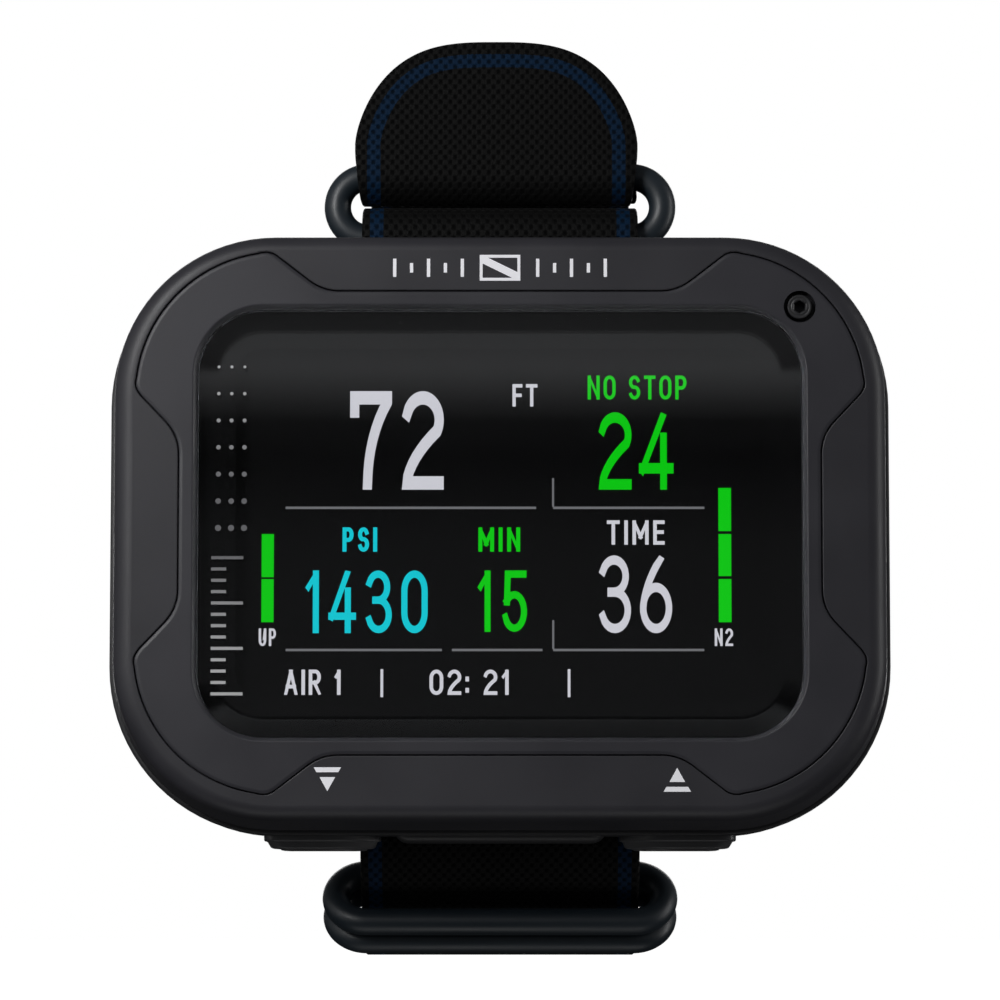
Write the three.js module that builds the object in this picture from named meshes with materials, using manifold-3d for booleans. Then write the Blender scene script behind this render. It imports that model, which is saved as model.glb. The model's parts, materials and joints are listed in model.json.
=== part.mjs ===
// Wrist dive computer: a two-shell case with a large display, two push-buttons under it, and an elastic
// forearm strap with a closure ring and two keeper rings.
// Millimetres. Inside this file x is to the right, z up and y runs back from the front face of the case.
// The whole group is then moved so that the origin is the axis of the forearm, which lies along x.
import * as THREE from 'three';
import { mergeVertices } from 'three/addons/utils/BufferGeometryUtils.js';
import Module from 'manifold-3d';

const wasm = await Module();
wasm.setup();

// ---------- driving dimensions ----------
const FOREARM_Y = 52; // axis of the forearm behind the front face
const GAP = 0.3; // room between two pieces, one of which is cut for the other
const CORNER_STEPS = 6; // facets in a quarter of a case corner

// case
const CASE = { hx: 40.8, hz: 31, r: 17.3 }; // outline at the joint of the two shells
const SEAM_Y = 12; // back edge of the front shell
const BACK_Y = 21.5; // back face of the rear shell
const FACE_INSET = { x: 2.9, z: 2.3 }; // flat front face inside the seam outline
const DRAFT_INSET = { x: 0.9, z: 0.7 }; // where the edge rounding meets the drafted side wall
const EDGE_DEPTH = 2; // depth of the rounded front edge
const RIM = 0.5; // the rear shell stands proud of the front one
const BACK_ROUND = 2.8;
const FACE_Z = 0.45; // window and bezel plate sit this much above the middle of the case

// window
const WINDOW = { hx: 31.4, hz: 22.27, r: 6.8 };
const PLATE_THICK = 1.3;
const PLATE_POCKET = 1.5;
const LENS_FRONT = 0.7;
const LENS_BACK = 2.8;
const LENS_LEDGE = 3.3;
const FRONT_WALL = 4.6; // back face of the front wall
const APERTURE = { hx: 29.4, hz: 20.3, r: 5 };

// bezel plate: its own half sizes, and the round lobe in each corner of the case
const PLATE = { hx: 33.15, hz: 24, shoulder: 25.1, tuck: 0.11 };
const LOBE = { x: 22.9, z: 13.3, r: 14.75 };

// inside of the shells
const CAVITY = { hx: 38.6, hz: 28.8, r: 15.1 };
const SPIGOT = { hx: 38.3, hz: 28.5, r: 14.8 };
const SPIGOT_Y = 9.8;
const REAR_CAVITY = { hx: 36.5, hz: 26.7, r: 13 };
const CHANNEL_HALF = 16; // the strap channel across the back
const CHANNEL_Y = 18.4;
const CENTRE_FLOOR_Y = 16.8;
const SIDE_FLOOR_Y = 19.5;

// display and electronics
const PANEL = { hx: 27.5, hz: 20.8, r: 4.5 };
const BOARD = { hx: 33.5, hz: 22.8, r: 3 };
const BOARD_FRONT = 10.4;
const BOARD_BACK = 11.4;

// fasteners
const CASE_SCREW = { x: 30.85, z: 21.05 };
const BRIDGE_SCREW_X = 19.2;
const BRIDGE_Z = 17;
const PLUG = { x: 31, z: 22.8 };

// buttons
const CAP = { outer: 24.9, inner: 12.6, front: 13.1, back: 17.1, low: -33.1, high: -29.9 };
const GUARD = { hx: 10.7, front: 12.9, back: 18.3, low: -32.25 }; // lip of the rear shell between the buttons
const CAP_POCKET_TOP = -28.9;
const SHAFT = { x: 18, y: 15.1, r: 1.2, end: -22 };
const SPRING_TOP = -26;
const BOSS_TOP = -23.2;
const CLIP_R = 2.1; // the retaining clip turns and travels in a relief in the floor

// pressure port and charging contacts, on the back
const SENSOR = { x: -27, z: 10, grilleR: 4.5, recessR: 4.8, recessY: 20.4 };
const CONTACTS = { first: 24, pitch: 3.8, z: 13, pinR: 0.7, headR: 1.2 };

// rings
const RING_TUBE = 1.52; // radius of the round bar
const RING_HALF = 17.53; // half length to the middle of the bar
const RING_BAR = 3.25; // middle of the ring to the middle of a long bar
const RING_Z = 36.7;
const KEEPER_TILT = 40; // degrees the keeper rings lean back
const KEEPER_ANGLES = [39, 30.9]; // slope of the strap where each keeper ring sits, degrees

// strap
const STRAP_THICK = 1.4;
const STRAP_HALF = 14.9;
const STRAP_Y = 19.45; // middle of the strap behind the case
const FOLD_R = 2.4; // middle of the strap round a ring's bar
const RING_Y = STRAP_Y + FOLD_R;
const BACK_RUN_HIGH = 31;
const BACK_RUN_LOW = -30.61; // the strap starts to bend back here
const BEND_START = { r: 8, slope: 45 };
const BEND_END_SLOPE = -8; // where the lower bend meets the forearm
const FOLD_SLOPE = -215; // slope of the strap where it reaches its fold in the closure ring
const TAIL_TOP = 54.3;
const TAIL_HALF = 15.28;
const TAIL_X = -0.4; // the free end lies a little to the left
const FOLD_HALF = STRAP_HALF + TAIL_X; // so its fold stays in line with the strap on the left
const TIP = { length: 11, along: 1.5, across: 3.2 }; // the rounded end, and the exponents of its curve
const CUT = 0.2; // half of the room between two lengths of the strap

// ---------- materials ----------
function plastic(color, roughness) {
  return new THREE.MeshStandardMaterial({ color, roughness, metalness: 0 });
}

function metal(color, roughness) {
  return new THREE.MeshStandardMaterial({ color, roughness, metalness: 1 });
}

const materials = {
  shell: plastic(0x38383b, 0.55),
  plate: plastic(0x3c3c40, 0.5),
  glass: plastic(0x15171a, 0.08),
  seal: plastic(0x1a1a1c, 0.8),
  black: plastic(0x202022, 0.6),
  ring: plastic(0x1a2026, 0.25),
  webbing: plastic(0x131315, 0.9),
  board: plastic(0x12402a, 0.5),
  chip: plastic(0x17171a, 0.4),
  foil: plastic(0x9fa6ad, 0.4),
  flex: plastic(0xa8611c, 0.45),
  foam: plastic(0x5a5a5e, 0.95),
  diffuser: plastic(0xe6e8ea, 0.5),
  steel: metal(0xb9bcc0, 0.3),
  copper: metal(0xb46a3c, 0.35),
  gold: metal(0xd1a850, 0.3),
};

// ---------- solids and booleans ----------
function toSolid(geometry) {
  const bare = geometry.clone();
  bare.deleteAttribute('normal');
  bare.deleteAttribute('uv');
  const merged = mergeVertices(bare, 1e-4);
  return new wasm.Manifold(new wasm.Mesh({
    numProp: 3,
    vertProperties: new Float32Array(merged.attributes.position.array),
    triVerts: new Uint32Array(merged.index.array),
  }));
}

function toGeometry(solid) {
  const mesh = solid.getMesh();
  const geometry = new THREE.BufferGeometry();
  geometry.setAttribute('position', new THREE.BufferAttribute(mesh.vertProperties, 3));
  geometry.setIndex(new THREE.BufferAttribute(mesh.triVerts, 1));
  geometry.computeVertexNormals();
  return geometry;
}

function join(...geometries) {
  const [first, ...rest] = geometries.map(toSolid);
  return toGeometry(rest.reduce((sum, part) => sum.add(part), first));
}

function cut(base, ...tools) {
  return toGeometry(tools.map(toSolid).reduce((left, tool) => left.subtract(tool), toSolid(base)));
}

function meshData(positions, triangles) {
  const geometry = new THREE.BufferGeometry();
  geometry.setAttribute('position', new THREE.Float32BufferAttribute(positions, 3));
  geometry.setIndex(triangles);
  geometry.computeVertexNormals();
  return geometry;
}

// ---------- outlines ----------
function inset(size, dx, dz = dx) {
  return { hx: size.hx - dx, hz: size.hz - dz, r: size.r - Math.min(dx, dz) };
}

// Points of a rounded rectangle, anticlockwise seen from the front, each with its outward normal.
function outlinePoints(size, steps = CORNER_STEPS) {
  const points = [];
  const corners = [[1, 1], [-1, 1], [-1, -1], [1, -1]];
  corners.forEach(([sx, sz], quarter) => {
    for (let i = 0; i <= steps; i += 1) {
      const angle = ((quarter + i / steps) * Math.PI) / 2;
      const nx = Math.cos(angle);
      const nz = Math.sin(angle);
      const x = sx * (size.hx - size.r) + nx * size.r;
      const z = sz * (size.hz - size.r) + nz * size.r;
      const last = points[points.length - 1];
      if (!last || Math.hypot(last.x - x, last.z - z) > 1e-6) points.push({ x, z, nx, nz });
    }
  });
  const [first] = points;
  const last = points[points.length - 1];
  if (Math.hypot(first.x - last.x, first.z - last.z) < 1e-6) points.pop();
  return points;
}

function roundedShape(size, cx = 0, cz = 0, steps = CORNER_STEPS) {
  return new THREE.Shape(outlinePoints(size, steps).map((p) => new THREE.Vector2(p.x + cx, p.z + cz)));
}

// A closed outline with its corners rounded; each corner is [x, z, length trimmed off both sides].
function roundedCorners(corners, divisions = 4) {
  const path = new THREE.Shape();
  corners.forEach(([x, z, trim], i) => {
    const here = new THREE.Vector2(x, z);
    const before = new THREE.Vector2(...corners[(i + corners.length - 1) % corners.length]);
    const after = new THREE.Vector2(...corners[(i + 1) % corners.length]);
    const start = before.sub(here).setLength(trim).add(here);
    const end = after.sub(here).setLength(trim).add(here);
    if (i === 0) path.moveTo(start.x, start.y);
    else path.lineTo(start.x, start.y);
    path.quadraticCurveTo(x, z, end.x, end.y);
  });
  return new THREE.Shape(path.getPoints(divisions));
}

// The bezel plate: straight top, bottom and sides, and a round lobe in each corner of the case.
function plateShape(growX = 0, growZ = 0) {
  const reach = PLATE.shoulder - LOBE.x;
  const shoulderZ = LOBE.z + Math.sqrt(LOBE.r ** 2 - reach ** 2);
  const quarter = new THREE.Path();
  quarter.moveTo(0, PLATE.hz);
  quarter.lineTo(16.6, PLATE.hz);
  quarter.quadraticCurveTo(18.4, PLATE.hz, 19.9, 25.2);
  quarter.lineTo(23, 27.6);
  quarter.quadraticCurveTo(23.9, 28.3, PLATE.shoulder, shoulderZ);
  quarter.absarc(LOBE.x, LOBE.z, LOBE.r, Math.acos(reach / LOBE.r), PLATE.tuck, true);
  quarter.quadraticCurveTo(37.9, 14, 37, 13);
  quarter.lineTo(34.6, 10.5);
  quarter.quadraticCurveTo(PLATE.hx, 9, PLATE.hx, 7);
  quarter.lineTo(PLATE.hx, 0);
  const points = quarter.getPoints(4);
  const scaled = points.map((p) => new THREE.Vector2(p.x * (1 + growX / 35), p.y * (1 + growZ / 26)));
  const inner = scaled.slice(1, -1);
  const mirror = (list, sx, sz) => list.map((p) => new THREE.Vector2(p.x * sx, p.y * sz));
  const top = scaled[0];
  const side = scaled[scaled.length - 1];
  const loop = [
    top, ...inner, side,
    ...mirror(inner, 1, -1).reverse(), ...mirror([top], 1, -1),
    ...mirror(inner, -1, -1), ...mirror([side], -1, 1),
    ...mirror(inner, -1, 1).reverse(),
  ];
  return new THREE.Shape(loop.map((p) => new THREE.Vector2(p.x, p.y + FACE_Z)));
}

// ---------- basic solids ----------
// A flat piece: a shape in x and z, running from front to back.
function slab(shape, front, back) {
  const geometry = new THREE.ExtrudeGeometry(shape, { depth: back - front, bevelEnabled: false });
  return geometry.rotateX(Math.PI / 2).translate(0, back, 0);
}

function box(x0, x1, y0, y1, z0, z1) {
  const geometry = new THREE.BoxGeometry(x1 - x0, y1 - y0, z1 - z0);
  return geometry.translate((x0 + x1) / 2, (y0 + y1) / 2, (z0 + z1) / 2);
}

function diskY(r, x, z, front, back, sides = 12) {
  return new THREE.CylinderGeometry(r, r, back - front, sides).translate(x, (front + back) / 2, z);
}

function diskZ(r, x, y, low, high, sides = 12) {
  const geometry = new THREE.CylinderGeometry(r, r, high - low, sides).rotateX(Math.PI / 2);
  return geometry.translate(x, y, (low + high) / 2);
}

// A turned piece along y: profile points are [radius, y], from axis to axis or closed on themselves.
function turnedY(profile, x, z, sides = 14) {
  const points = profile.map(([r, y]) => new THREE.Vector2(r, y));
  return new THREE.LatheGeometry(points, sides).translate(x, 0, z);
}

// A turned piece along z: profile points are [radius, z].
function turnedZ(profile, x, y, sides = 12) {
  const points = profile.map(([r, z]) => new THREE.Vector2(r, z));
  return new THREE.LatheGeometry(points, sides).rotateX(Math.PI / 2).translate(x, y, 0);
}

// A solid through a stack of rounded rectangles, each {y, hx, hz, r}, from front to back.
function loft(levels, cx = 0, cz = 0, steps = CORNER_STEPS) {
  const positions = [];
  const triangles = [];
  const rings = levels.map((level) => outlinePoints(level, steps));
  const count = rings[0].length;
  rings.forEach((ring, i) => ring.forEach((p) => positions.push(p.x + cx, levels[i].y, p.z + cz)));
  const frontCentre = rings.length * count;
  const backCentre = frontCentre + 1;
  positions.push(cx, levels[0].y, cz);
  positions.push(cx, levels[levels.length - 1].y, cz);
  const lastRow = (rings.length - 1) * count;
  for (let j = 0; j < count; j += 1) {
    const next = (j + 1) % count;
    for (let i = 0; i < rings.length - 1; i += 1) {
      const row = i * count;
      triangles.push(row + j, row + count + j, row + next);
      triangles.push(row + next, row + count + j, row + count + next);
    }
    triangles.push(frontCentre, j, next);
    triangles.push(backCentre, lastRow + next, lastRow + j);
  }
  return meshData(positions, triangles);
}

// A solid through outlines in x and y with equal numbers of points, each at its own height: [z, shape].
function stack(levels) {
  const positions = [];
  const triangles = [];
  const rings = levels.map(([, shape]) => shape.getPoints());
  if (THREE.ShapeUtils.isClockWise(rings[0])) rings.forEach((ring) => ring.reverse());
  const count = rings[0].length;
  rings.forEach((ring, i) => ring.forEach((p) => positions.push(p.x, p.y, levels[i][0])));
  for (let i = 0; i < rings.length - 1; i += 1) {
    for (let j = 0; j < count; j += 1) {
      const a = i * count + j;
      const b = i * count + ((j + 1) % count);
      triangles.push(a, b, a + count, b, b + count, a + count);
    }
  }
  const top = (rings.length - 1) * count;
  THREE.ShapeUtils.triangulateShape(rings[0], []).forEach(([a, b, c]) => triangles.push(a, c, b));
  THREE.ShapeUtils.triangulateShape(rings[rings.length - 1], []).forEach(([a, b, c]) => {
    triangles.push(top + a, top + b, top + c);
  });
  return meshData(positions, triangles);
}

// A round bar along a closed outline: a ring, or a seal.
function hoop(outline, radius, sides) {
  const positions = [];
  const triangles = [];
  outline.forEach((p) => {
    for (let k = 0; k < sides; k += 1) {
      const angle = (2 * Math.PI * k) / sides;
      const out = radius * Math.cos(angle);
      positions.push(p.x + p.nx * out, radius * Math.sin(angle), p.z + p.nz * out);
    }
  });
  const count = outline.length;
  for (let i = 0; i < count; i += 1) {
    for (let k = 0; k < sides; k += 1) {
      const a = i * sides + k;
      const b = i * sides + ((k + 1) % sides);
      const c = ((i + 1) % count) * sides + k;
      const d = ((i + 1) % count) * sides + ((k + 1) % sides);
      triangles.push(a, b, c, b, d, c);
    }
  }
  return meshData(positions, triangles);
}

function roundSeal(ringRadius, radius, sides = 5, around = 12) {
  return new THREE.TorusGeometry(ringRadius, radius, sides, around);
}

// ---------- shells ----------
function edgeLevels() {
  const levels = [];
  const steps = 3;
  for (let i = 0; i <= steps; i += 1) {
    const angle = ((i / steps) * Math.PI) / 2;
    const rest = 1 - Math.sin(angle);
    const dx = DRAFT_INSET.x + (FACE_INSET.x - DRAFT_INSET.x) * rest;
    const dz = DRAFT_INSET.z + (FACE_INSET.z - DRAFT_INSET.z) * rest;
    levels.push({ y: EDGE_DEPTH * (1 - Math.cos(angle)), ...inset(CASE, dx, dz) });
  }
  return levels;
}

function eachCaseScrew(make) {
  return [[1, 1], [-1, 1], [-1, -1], [1, -1]].map(([sx, sz]) => make(sx * CASE_SCREW.x, sz * CASE_SCREW.z));
}

function frontHousing() {
  const outer = loft([...edgeLevels(), { y: SEAM_Y, ...CASE }]);
  const cavity = loft([
    { y: FRONT_WALL, ...inset(CAVITY, 0.6) },
    { y: 9, ...CAVITY },
    { y: SEAM_Y + 1, ...CAVITY },
  ]);
  const platePocket = slab(plateShape(0.25, 0.25), -1, PLATE_POCKET);
  const lensStep = loft([
    { y: 1, ...inset(WINDOW, -0.15) },
    { y: LENS_LEDGE, ...inset(WINDOW, -0.15) },
  ], 0, FACE_Z);
  const aperture = loft([{ y: 2, ...APERTURE }, { y: FRONT_WALL + 1, ...APERTURE }], 0, FACE_Z);
  const shell = cut(outer, cavity, platePocket, lensStep, aperture);
  const bosses = eachCaseScrew((x, z) => diskY(2.3, x, z, FRONT_WALL - 0.3, 11.6));
  const pilots = eachCaseScrew((x, z) => diskY(1.25, x, z, 5.6, SEAM_Y, 8));
  const plugHole = diskY(1.05, PLUG.x, PLUG.z, 1, 4.3, 12);
  return cut(join(shell, ...bosses), ...pilots, plugHole);
}

function bezelPlate() {
  const window = loft([
    { y: -0.2, ...inset(WINDOW, -1) },
    { y: 0.6, ...inset(WINDOW, -0.1) },
    { y: PLATE_THICK + 1, ...inset(WINDOW, -0.1) },
  ], 0, FACE_Z);
  const plugHole = diskY(1.62, PLUG.x, PLUG.z, -1, PLATE_THICK + 1);
  return cut(slab(plateShape(), 0, PLATE_THICK), window, plugHole);
}

function windowLens() {
  const lens = inset(WINDOW, 0.15);
  return loft([
    { y: LENS_FRONT, ...inset(lens, 1.9) },
    { y: LENS_FRONT + 0.25, ...lens },
    { y: LENS_BACK, ...lens },
  ], 0, FACE_Z);
}

function windowGasket() {
  const shape = roundedShape(inset(WINDOW, 0.3), 0, FACE_Z);
  shape.holes.push(roundedShape(inset(APERTURE, -0.3), 0, FACE_Z));
  return slab(shape, LENS_BACK + 0.1, LENS_LEDGE - 0.1);
}

function rearOuter() {
  const rim = inset(CASE, -RIM + 0.1, -RIM);
  const levels = [
    { y: SEAM_Y + GAP, ...inset(rim, 0.4) },
    { y: SEAM_Y + GAP + 0.8, ...rim },
  ];
  const steps = 3;
  for (let i = 0; i <= steps; i += 1) {
    const angle = ((i / steps) * Math.PI) / 2;
    const depth = BACK_Y - BACK_ROUND * (1 - Math.sin(angle));
    levels.push({ y: depth, ...inset(rim, BACK_ROUND * (1 - Math.cos(angle))) });
  }
  return loft(levels);
}

// Plan of a button cap: round outer end, and an inner end that sweeps back to a narrow tip.
function capShape(side, grow = 0) {
  const far = CAP.outer + grow;
  const near = CAP.inner - grow;
  const front = CAP.front - grow;
  const back = CAP.back + grow;
  return roundedCorners([
    [side * far, front, 1.6],
    [side * far, back, 1.2],
    [side * near, back, 0.4],
    [side * near, back - 1.1, 0.4],
    [side * (near + 3.4), front, 2.4],
  ]);
}

function buttonCuts(side) {
  const x = side * SHAFT.x;
  const pocketDepth = CAP_POCKET_TOP - CAP.low + 1;
  const pocket = new THREE.ExtrudeGeometry(capShape(side, GAP), { depth: pocketDepth, bevelEnabled: false });
  return [
    pocket.translate(0, 0, CAP.low - 1),
    diskZ(2.6, x, SHAFT.y, CAP_POCKET_TOP - 0.5, SPRING_TOP),
    diskZ(SHAFT.r + GAP, x, SHAFT.y, SPRING_TOP - 0.5, BOSS_TOP + 1),
    diskZ(CLIP_R + GAP, x, SHAFT.y, BOSS_TOP, SHAFT.end + 1.1),
  ];
}

function eachBridgeScrew(make) {
  return [[-1, 1], [1, 1], [-1, -1], [1, -1]].map(([sx, sz]) => make(sx * BRIDGE_SCREW_X, sz * BRIDGE_Z));
}

function eachContact(make) {
  return [0, 1, 2].map((i) => make(CONTACTS.first + i * CONTACTS.pitch, CONTACTS.z));
}

// The lip between the buttons, with rounded lower ends and a slanted front.
function buttonGuard() {
  const outline = (low, half) => roundedCorners([
    [-half - 1, CAP.high, 0.1],
    [-half, low, 0.8],
    [half, low, 0.8],
    [half + 1, CAP.high, 0.1],
  ], 3);
  return join(
    slab(outline(GUARD.low, GUARD.hx), GUARD.front + 0.5, GUARD.back),
    slab(outline(GUARD.low + 0.35, GUARD.hx - 0.1), GUARD.front, GUARD.back - 1),
  );
}

function rearHousing() {
  const spigot = loft([{ y: SPIGOT_Y, ...SPIGOT }, { y: SEAM_Y + 1, ...SPIGOT }]);
  const cavity = loft([{ y: SPIGOT_Y - 1, ...REAR_CAVITY }, { y: CENTRE_FLOOR_Y, ...REAR_CAVITY }], 0, 0, 4);
  const sealGroove = cut(
    loft([{ y: 10.5, ...inset(SPIGOT, -1) }, { y: 11.7, ...inset(SPIGOT, -1) }]),
    loft([{ y: 10, ...inset(SPIGOT, 0.8) }, { y: 12, ...inset(SPIGOT, 0.8) }]),
  );
  const sidePocket = (side) => slab(
    roundedShape({ hx: 8.6, hz: 23, r: 6 }, side * 26.4, 0, 3), CENTRE_FLOOR_Y - 1, SIDE_FLOOR_Y,
  );
  const channel = box(-CHANNEL_HALF, CHANNEL_HALF, CHANNEL_Y, BACK_Y + 1, -40, 40);
  const block = join(rearOuter(), buttonGuard(), spigot);
  const shell = cut(block, cavity, sealGroove, sidePocket(-1), sidePocket(1), channel);
  const sensorBoss = diskY(4.6, SENSOR.x, SENSOR.z, 17.8, SIDE_FLOOR_Y + 0.5);
  const buttonBoss = (side) => box(
    side * SHAFT.x - 4.4, side * SHAFT.x + 4.4, 12, CENTRE_FLOOR_Y + 0.4, -27, BOSS_TOP,
  );
  const bosses = [
    ...eachCaseScrew((x, z) => diskY(2.6, x, z, 12.1, SIDE_FLOOR_Y + 0.5)),
    ...eachBridgeScrew((x, z) => diskY(2.1, x, z, CENTRE_FLOOR_Y + 0.05, SIDE_FLOOR_Y + 0.5)),
    sensorBoss, buttonBoss(-1), buttonBoss(1),
  ];
  const holes = [
    ...eachCaseScrew((x, z) => diskY(1.25, x, z, 11, BACK_Y + 1, 8)),
    ...eachCaseScrew((x, z) => diskY(2.2, x, z, BACK_Y - 1.5, BACK_Y + 1)),
    ...eachBridgeScrew((x, z) => diskY(1, x, z, 18, BACK_Y + 1, 8)),
    diskY(3.5, SENSOR.x, SENSOR.z, 17, SIDE_FLOOR_Y),
    diskY(1.2, SENSOR.x, SENSOR.z, SIDE_FLOOR_Y - 1, BACK_Y, 12),
    diskY(SENSOR.recessR, SENSOR.x, SENSOR.z, SENSOR.recessY, BACK_Y + 1, 16),
    ...eachContact((x, z) => diskY(1, x, z, SIDE_FLOOR_Y - 1, BACK_Y + 1, 8)),
    ...eachContact((x, z) => diskY(CONTACTS.headR + GAP, x, z, SENSOR.recessY, BACK_Y + 1, 10)),
    ...buttonCuts(-1), ...buttonCuts(1),
  ];
  return cut(join(shell, ...bosses), ...holes);
}

function mainSeal() {
  const middle = inset(SPIGOT, 0.25);
  return hoop(outlinePoints(middle, 6), 0.4, 6).translate(0, 11.1, 0);
}

// ---------- display and electronics ----------
function panelSlab(front, back) {
  return loft([{ y: front, ...PANEL }, { y: back, ...PANEL }], 0, FACE_Z, 4);
}

function displayFrame() {
  const outer = { hx: 29.2, hz: 22.4, r: 6 };
  return cut(
    loft([{ y: 4.8, ...outer }, { y: 8.7, ...outer }], 0, FACE_Z, 4),
    loft([{ y: 4, ...inset(PANEL, -0.3) }, { y: 8.35, ...inset(PANEL, -0.3) }], 0, FACE_Z, 4),
    slab(roundedShape({ hx: 22, hz: 15, r: 3 }, 0, FACE_Z, 3), 8, 9),
  );
}

function circuitBoard() {
  const board = slab(roundedShape(BOARD, 0, 0, 3), BOARD_FRONT, BOARD_BACK);
  return cut(board, ...eachCaseScrew((x, z) => diskY(2.9, x, z, BOARD_FRONT - 1, BOARD_BACK + 1)));
}

function antennaCoil() {
  return turnedY([[5, 13.4], [6.4, 13.4], [6.4, 15.4], [5, 15.4], [5, 13.4]], 26.5, 0);
}

function pressureSensor() {
  const profile = [[0, 13.2], [4.2, 13.2], [4.2, 16.6], [2.4, 16.6], [2.4, 19.3], [0, 19.3]];
  return turnedY(profile, SENSOR.x, SENSOR.z);
}

function sensorGrille() {
  const holes = [diskY(0.45, SENSOR.x, SENSOR.z, 20, 22, 6)];
  for (let i = 0; i < 6; i += 1) {
    const angle = (i * Math.PI) / 3;
    const x = SENSOR.x + 2.4 * Math.cos(angle);
    const z = SENSOR.z + 2.4 * Math.sin(angle);
    holes.push(diskY(0.45, x, z, 20, 22, 6));
  }
  const edge = SENSOR.grilleR;
  const profile = [[0, 20.55], [edge, 20.55], [edge, 21.2], [edge - 0.3, 21.45], [0, 21.45]];
  return cut(turnedY(profile, SENSOR.x, SENSOR.z, 16), ...holes);
}

function contactPin(x, z) {
  const { pinR, headR } = CONTACTS;
  const head = [[headR, 20.7], [headR, 21.2], [headR - 0.3, 21.4]];
  return turnedY([[0, 16.9], [pinR, 16.9], [pinR, 20.7], ...head, [0, 21.4]], x, z, 8);
}

function contactBlock() {
  const body = box(22, 33.6, 17.3, 19.3, CONTACTS.z - 2, CONTACTS.z + 2);
  return cut(body, ...eachContact((x, z) => diskY(1, x, z, 16, 20, 8)));
}

// ---------- fasteners ----------
// A cap screw whose head faces the back, with a hex socket.
function screwY(x, z, headR, headFront, headBack, shankR, tipY, socketR) {
  const profile = [
    [0, tipY], [shankR * 0.6, tipY], [shankR, tipY + shankR * 0.6],
    [shankR, headFront], [headR, headFront], [headR, headBack - 0.2], [headR - 0.2, headBack], [0, headBack],
  ];
  const socket = diskY(socketR, x, z, headBack - 0.6, headBack + 1, 6);
  return cut(turnedY(profile, x, z, 10), socket);
}

function plugSeal() {
  return roundSeal(1.15, 0.18).rotateX(Math.PI / 2).translate(PLUG.x, 1.3, PLUG.z);
}

function plugScrew() {
  const profile = [[0, 0.05], [1, 0.05], [1.2, 0.25], [1.2, 1.1], [0.75, 1.1], [0.75, 4], [0, 4]];
  return cut(turnedY(profile, PLUG.x, PLUG.z, 12), diskY(0.62, PLUG.x, PLUG.z, -1, 0.75, 6));
}

// ---------- buttons ----------
function buttonCap(side) {
  const chamfer = 0.5;
  const body = stack([
    [CAP.low, capShape(side, -chamfer)],
    [CAP.low + chamfer, capShape(side)],
    [CAP.high, capShape(side)],
  ]);
  const shaft = turnedZ([
    [0, CAP.high - 1], [SHAFT.r, CAP.high - 1], [SHAFT.r, -25.15], [0.75, -25.15], [0.75, -24.25],
    [SHAFT.r, -24.25], [SHAFT.r, -23.0], [0.8, -23.0], [0.8, -22.4], [SHAFT.r, -22.4], [SHAFT.r, SHAFT.end],
    [0, SHAFT.end],
  ], side * SHAFT.x, SHAFT.y, 12);
  return join(body, shaft);
}

class Helix extends THREE.Curve {
  constructor(radius, low, high, turns) {
    super();
    Object.assign(this, { radius, low, high, turns });
  }

  getPoint(t, target = new THREE.Vector3()) {
    const angle = 2 * Math.PI * this.turns * t;
    const z = this.low + (this.high - this.low) * t;
    return target.set(this.radius * Math.cos(angle), this.radius * Math.sin(angle), z);
  }
}

function returnSpring(side) {
  const wire = 0.22;
  const path = new Helix(2.05, CAP.high + wire + 0.1, SPRING_TOP - wire - 0.1, 3.5);
  const circle = new THREE.Path().absarc(0, 0, wire, 0, 2 * Math.PI);
  const section = new THREE.Shape(circle.getPoints(3).slice(0, -1));
  const coil = new THREE.ExtrudeGeometry(section, { steps: 35, extrudePath: path, bevelEnabled: false });
  return coil.translate(side * SHAFT.x, SHAFT.y, 0);
}

function shaftSeal(side) {
  return roundSeal(1.15, 0.3).translate(side * SHAFT.x, SHAFT.y, -24.7);
}

function retainingClip(side) {
  const ring = turnedZ([[0.9, -22.95], [CLIP_R, -22.95], [CLIP_R, -22.5], [0.9, -22.5], [0.9, -22.95]], 0, 0);
  const mouth = box(-0.7, 0.7, 0, 3, -24, -21);
  return cut(ring, mouth).translate(side * SHAFT.x, SHAFT.y, 0);
}

function tactSwitch(side) {
  const x = side * SHAFT.x;
  return join(box(x - 3, x + 3, BOARD_BACK + 0.2, 16.3, -20.2, -16.7), diskZ(0.8, x, SHAFT.y, -21, -20, 12));
}

// ---------- rings ----------
function strapRing() {
  const outline = outlinePoints({ hx: RING_HALF, hz: RING_BAR, r: RING_BAR }, 6);
  return hoop(outline, RING_TUBE, 10);
}

function keeperRing(slope) {
  const angle = THREE.MathUtils.degToRad(slope);
  const y = LOWER_BEND.y - LOWER_BEND.r * Math.sin(angle);
  const z = LOWER_BEND.z - LOWER_BEND.r * Math.cos(angle);
  return strapRing().rotateX(THREE.MathUtils.degToRad(-KEEPER_TILT)).translate(0, y, z);
}

// ---------- strap ----------
// Walks the middle line of the strap in the y-z plane. The slope is the angle of travel below +y, in degrees.
class StrapPath {
  constructor(y, z, slope) {
    this.points = [{ y, z, slope }];
  }

  get end() {
    return this.points[this.points.length - 1];
  }

  line(length) {
    const { y, z, slope } = this.end;
    const angle = THREE.MathUtils.degToRad(slope);
    this.points.push({ y: y + length * Math.cos(angle), z: z - length * Math.sin(angle), slope });
    return this;
  }

  // Bends to a new slope with the given radius.
  bend(radius, slope, steps) {
    const start = this.end;
    const turn = Math.sign(start.slope - slope) * radius;
    const a0 = THREE.MathUtils.degToRad(start.slope);
    for (let i = 1; i <= steps; i += 1) {
      const here = start.slope + ((slope - start.slope) * i) / steps;
      const a = THREE.MathUtils.degToRad(here);
      this.points.push({
        y: start.y + turn * (Math.sin(a0) - Math.sin(a)),
        z: start.z + turn * (Math.cos(a0) - Math.cos(a)),
        slope: here,
      });
    }
    return this;
  }
}

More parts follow.
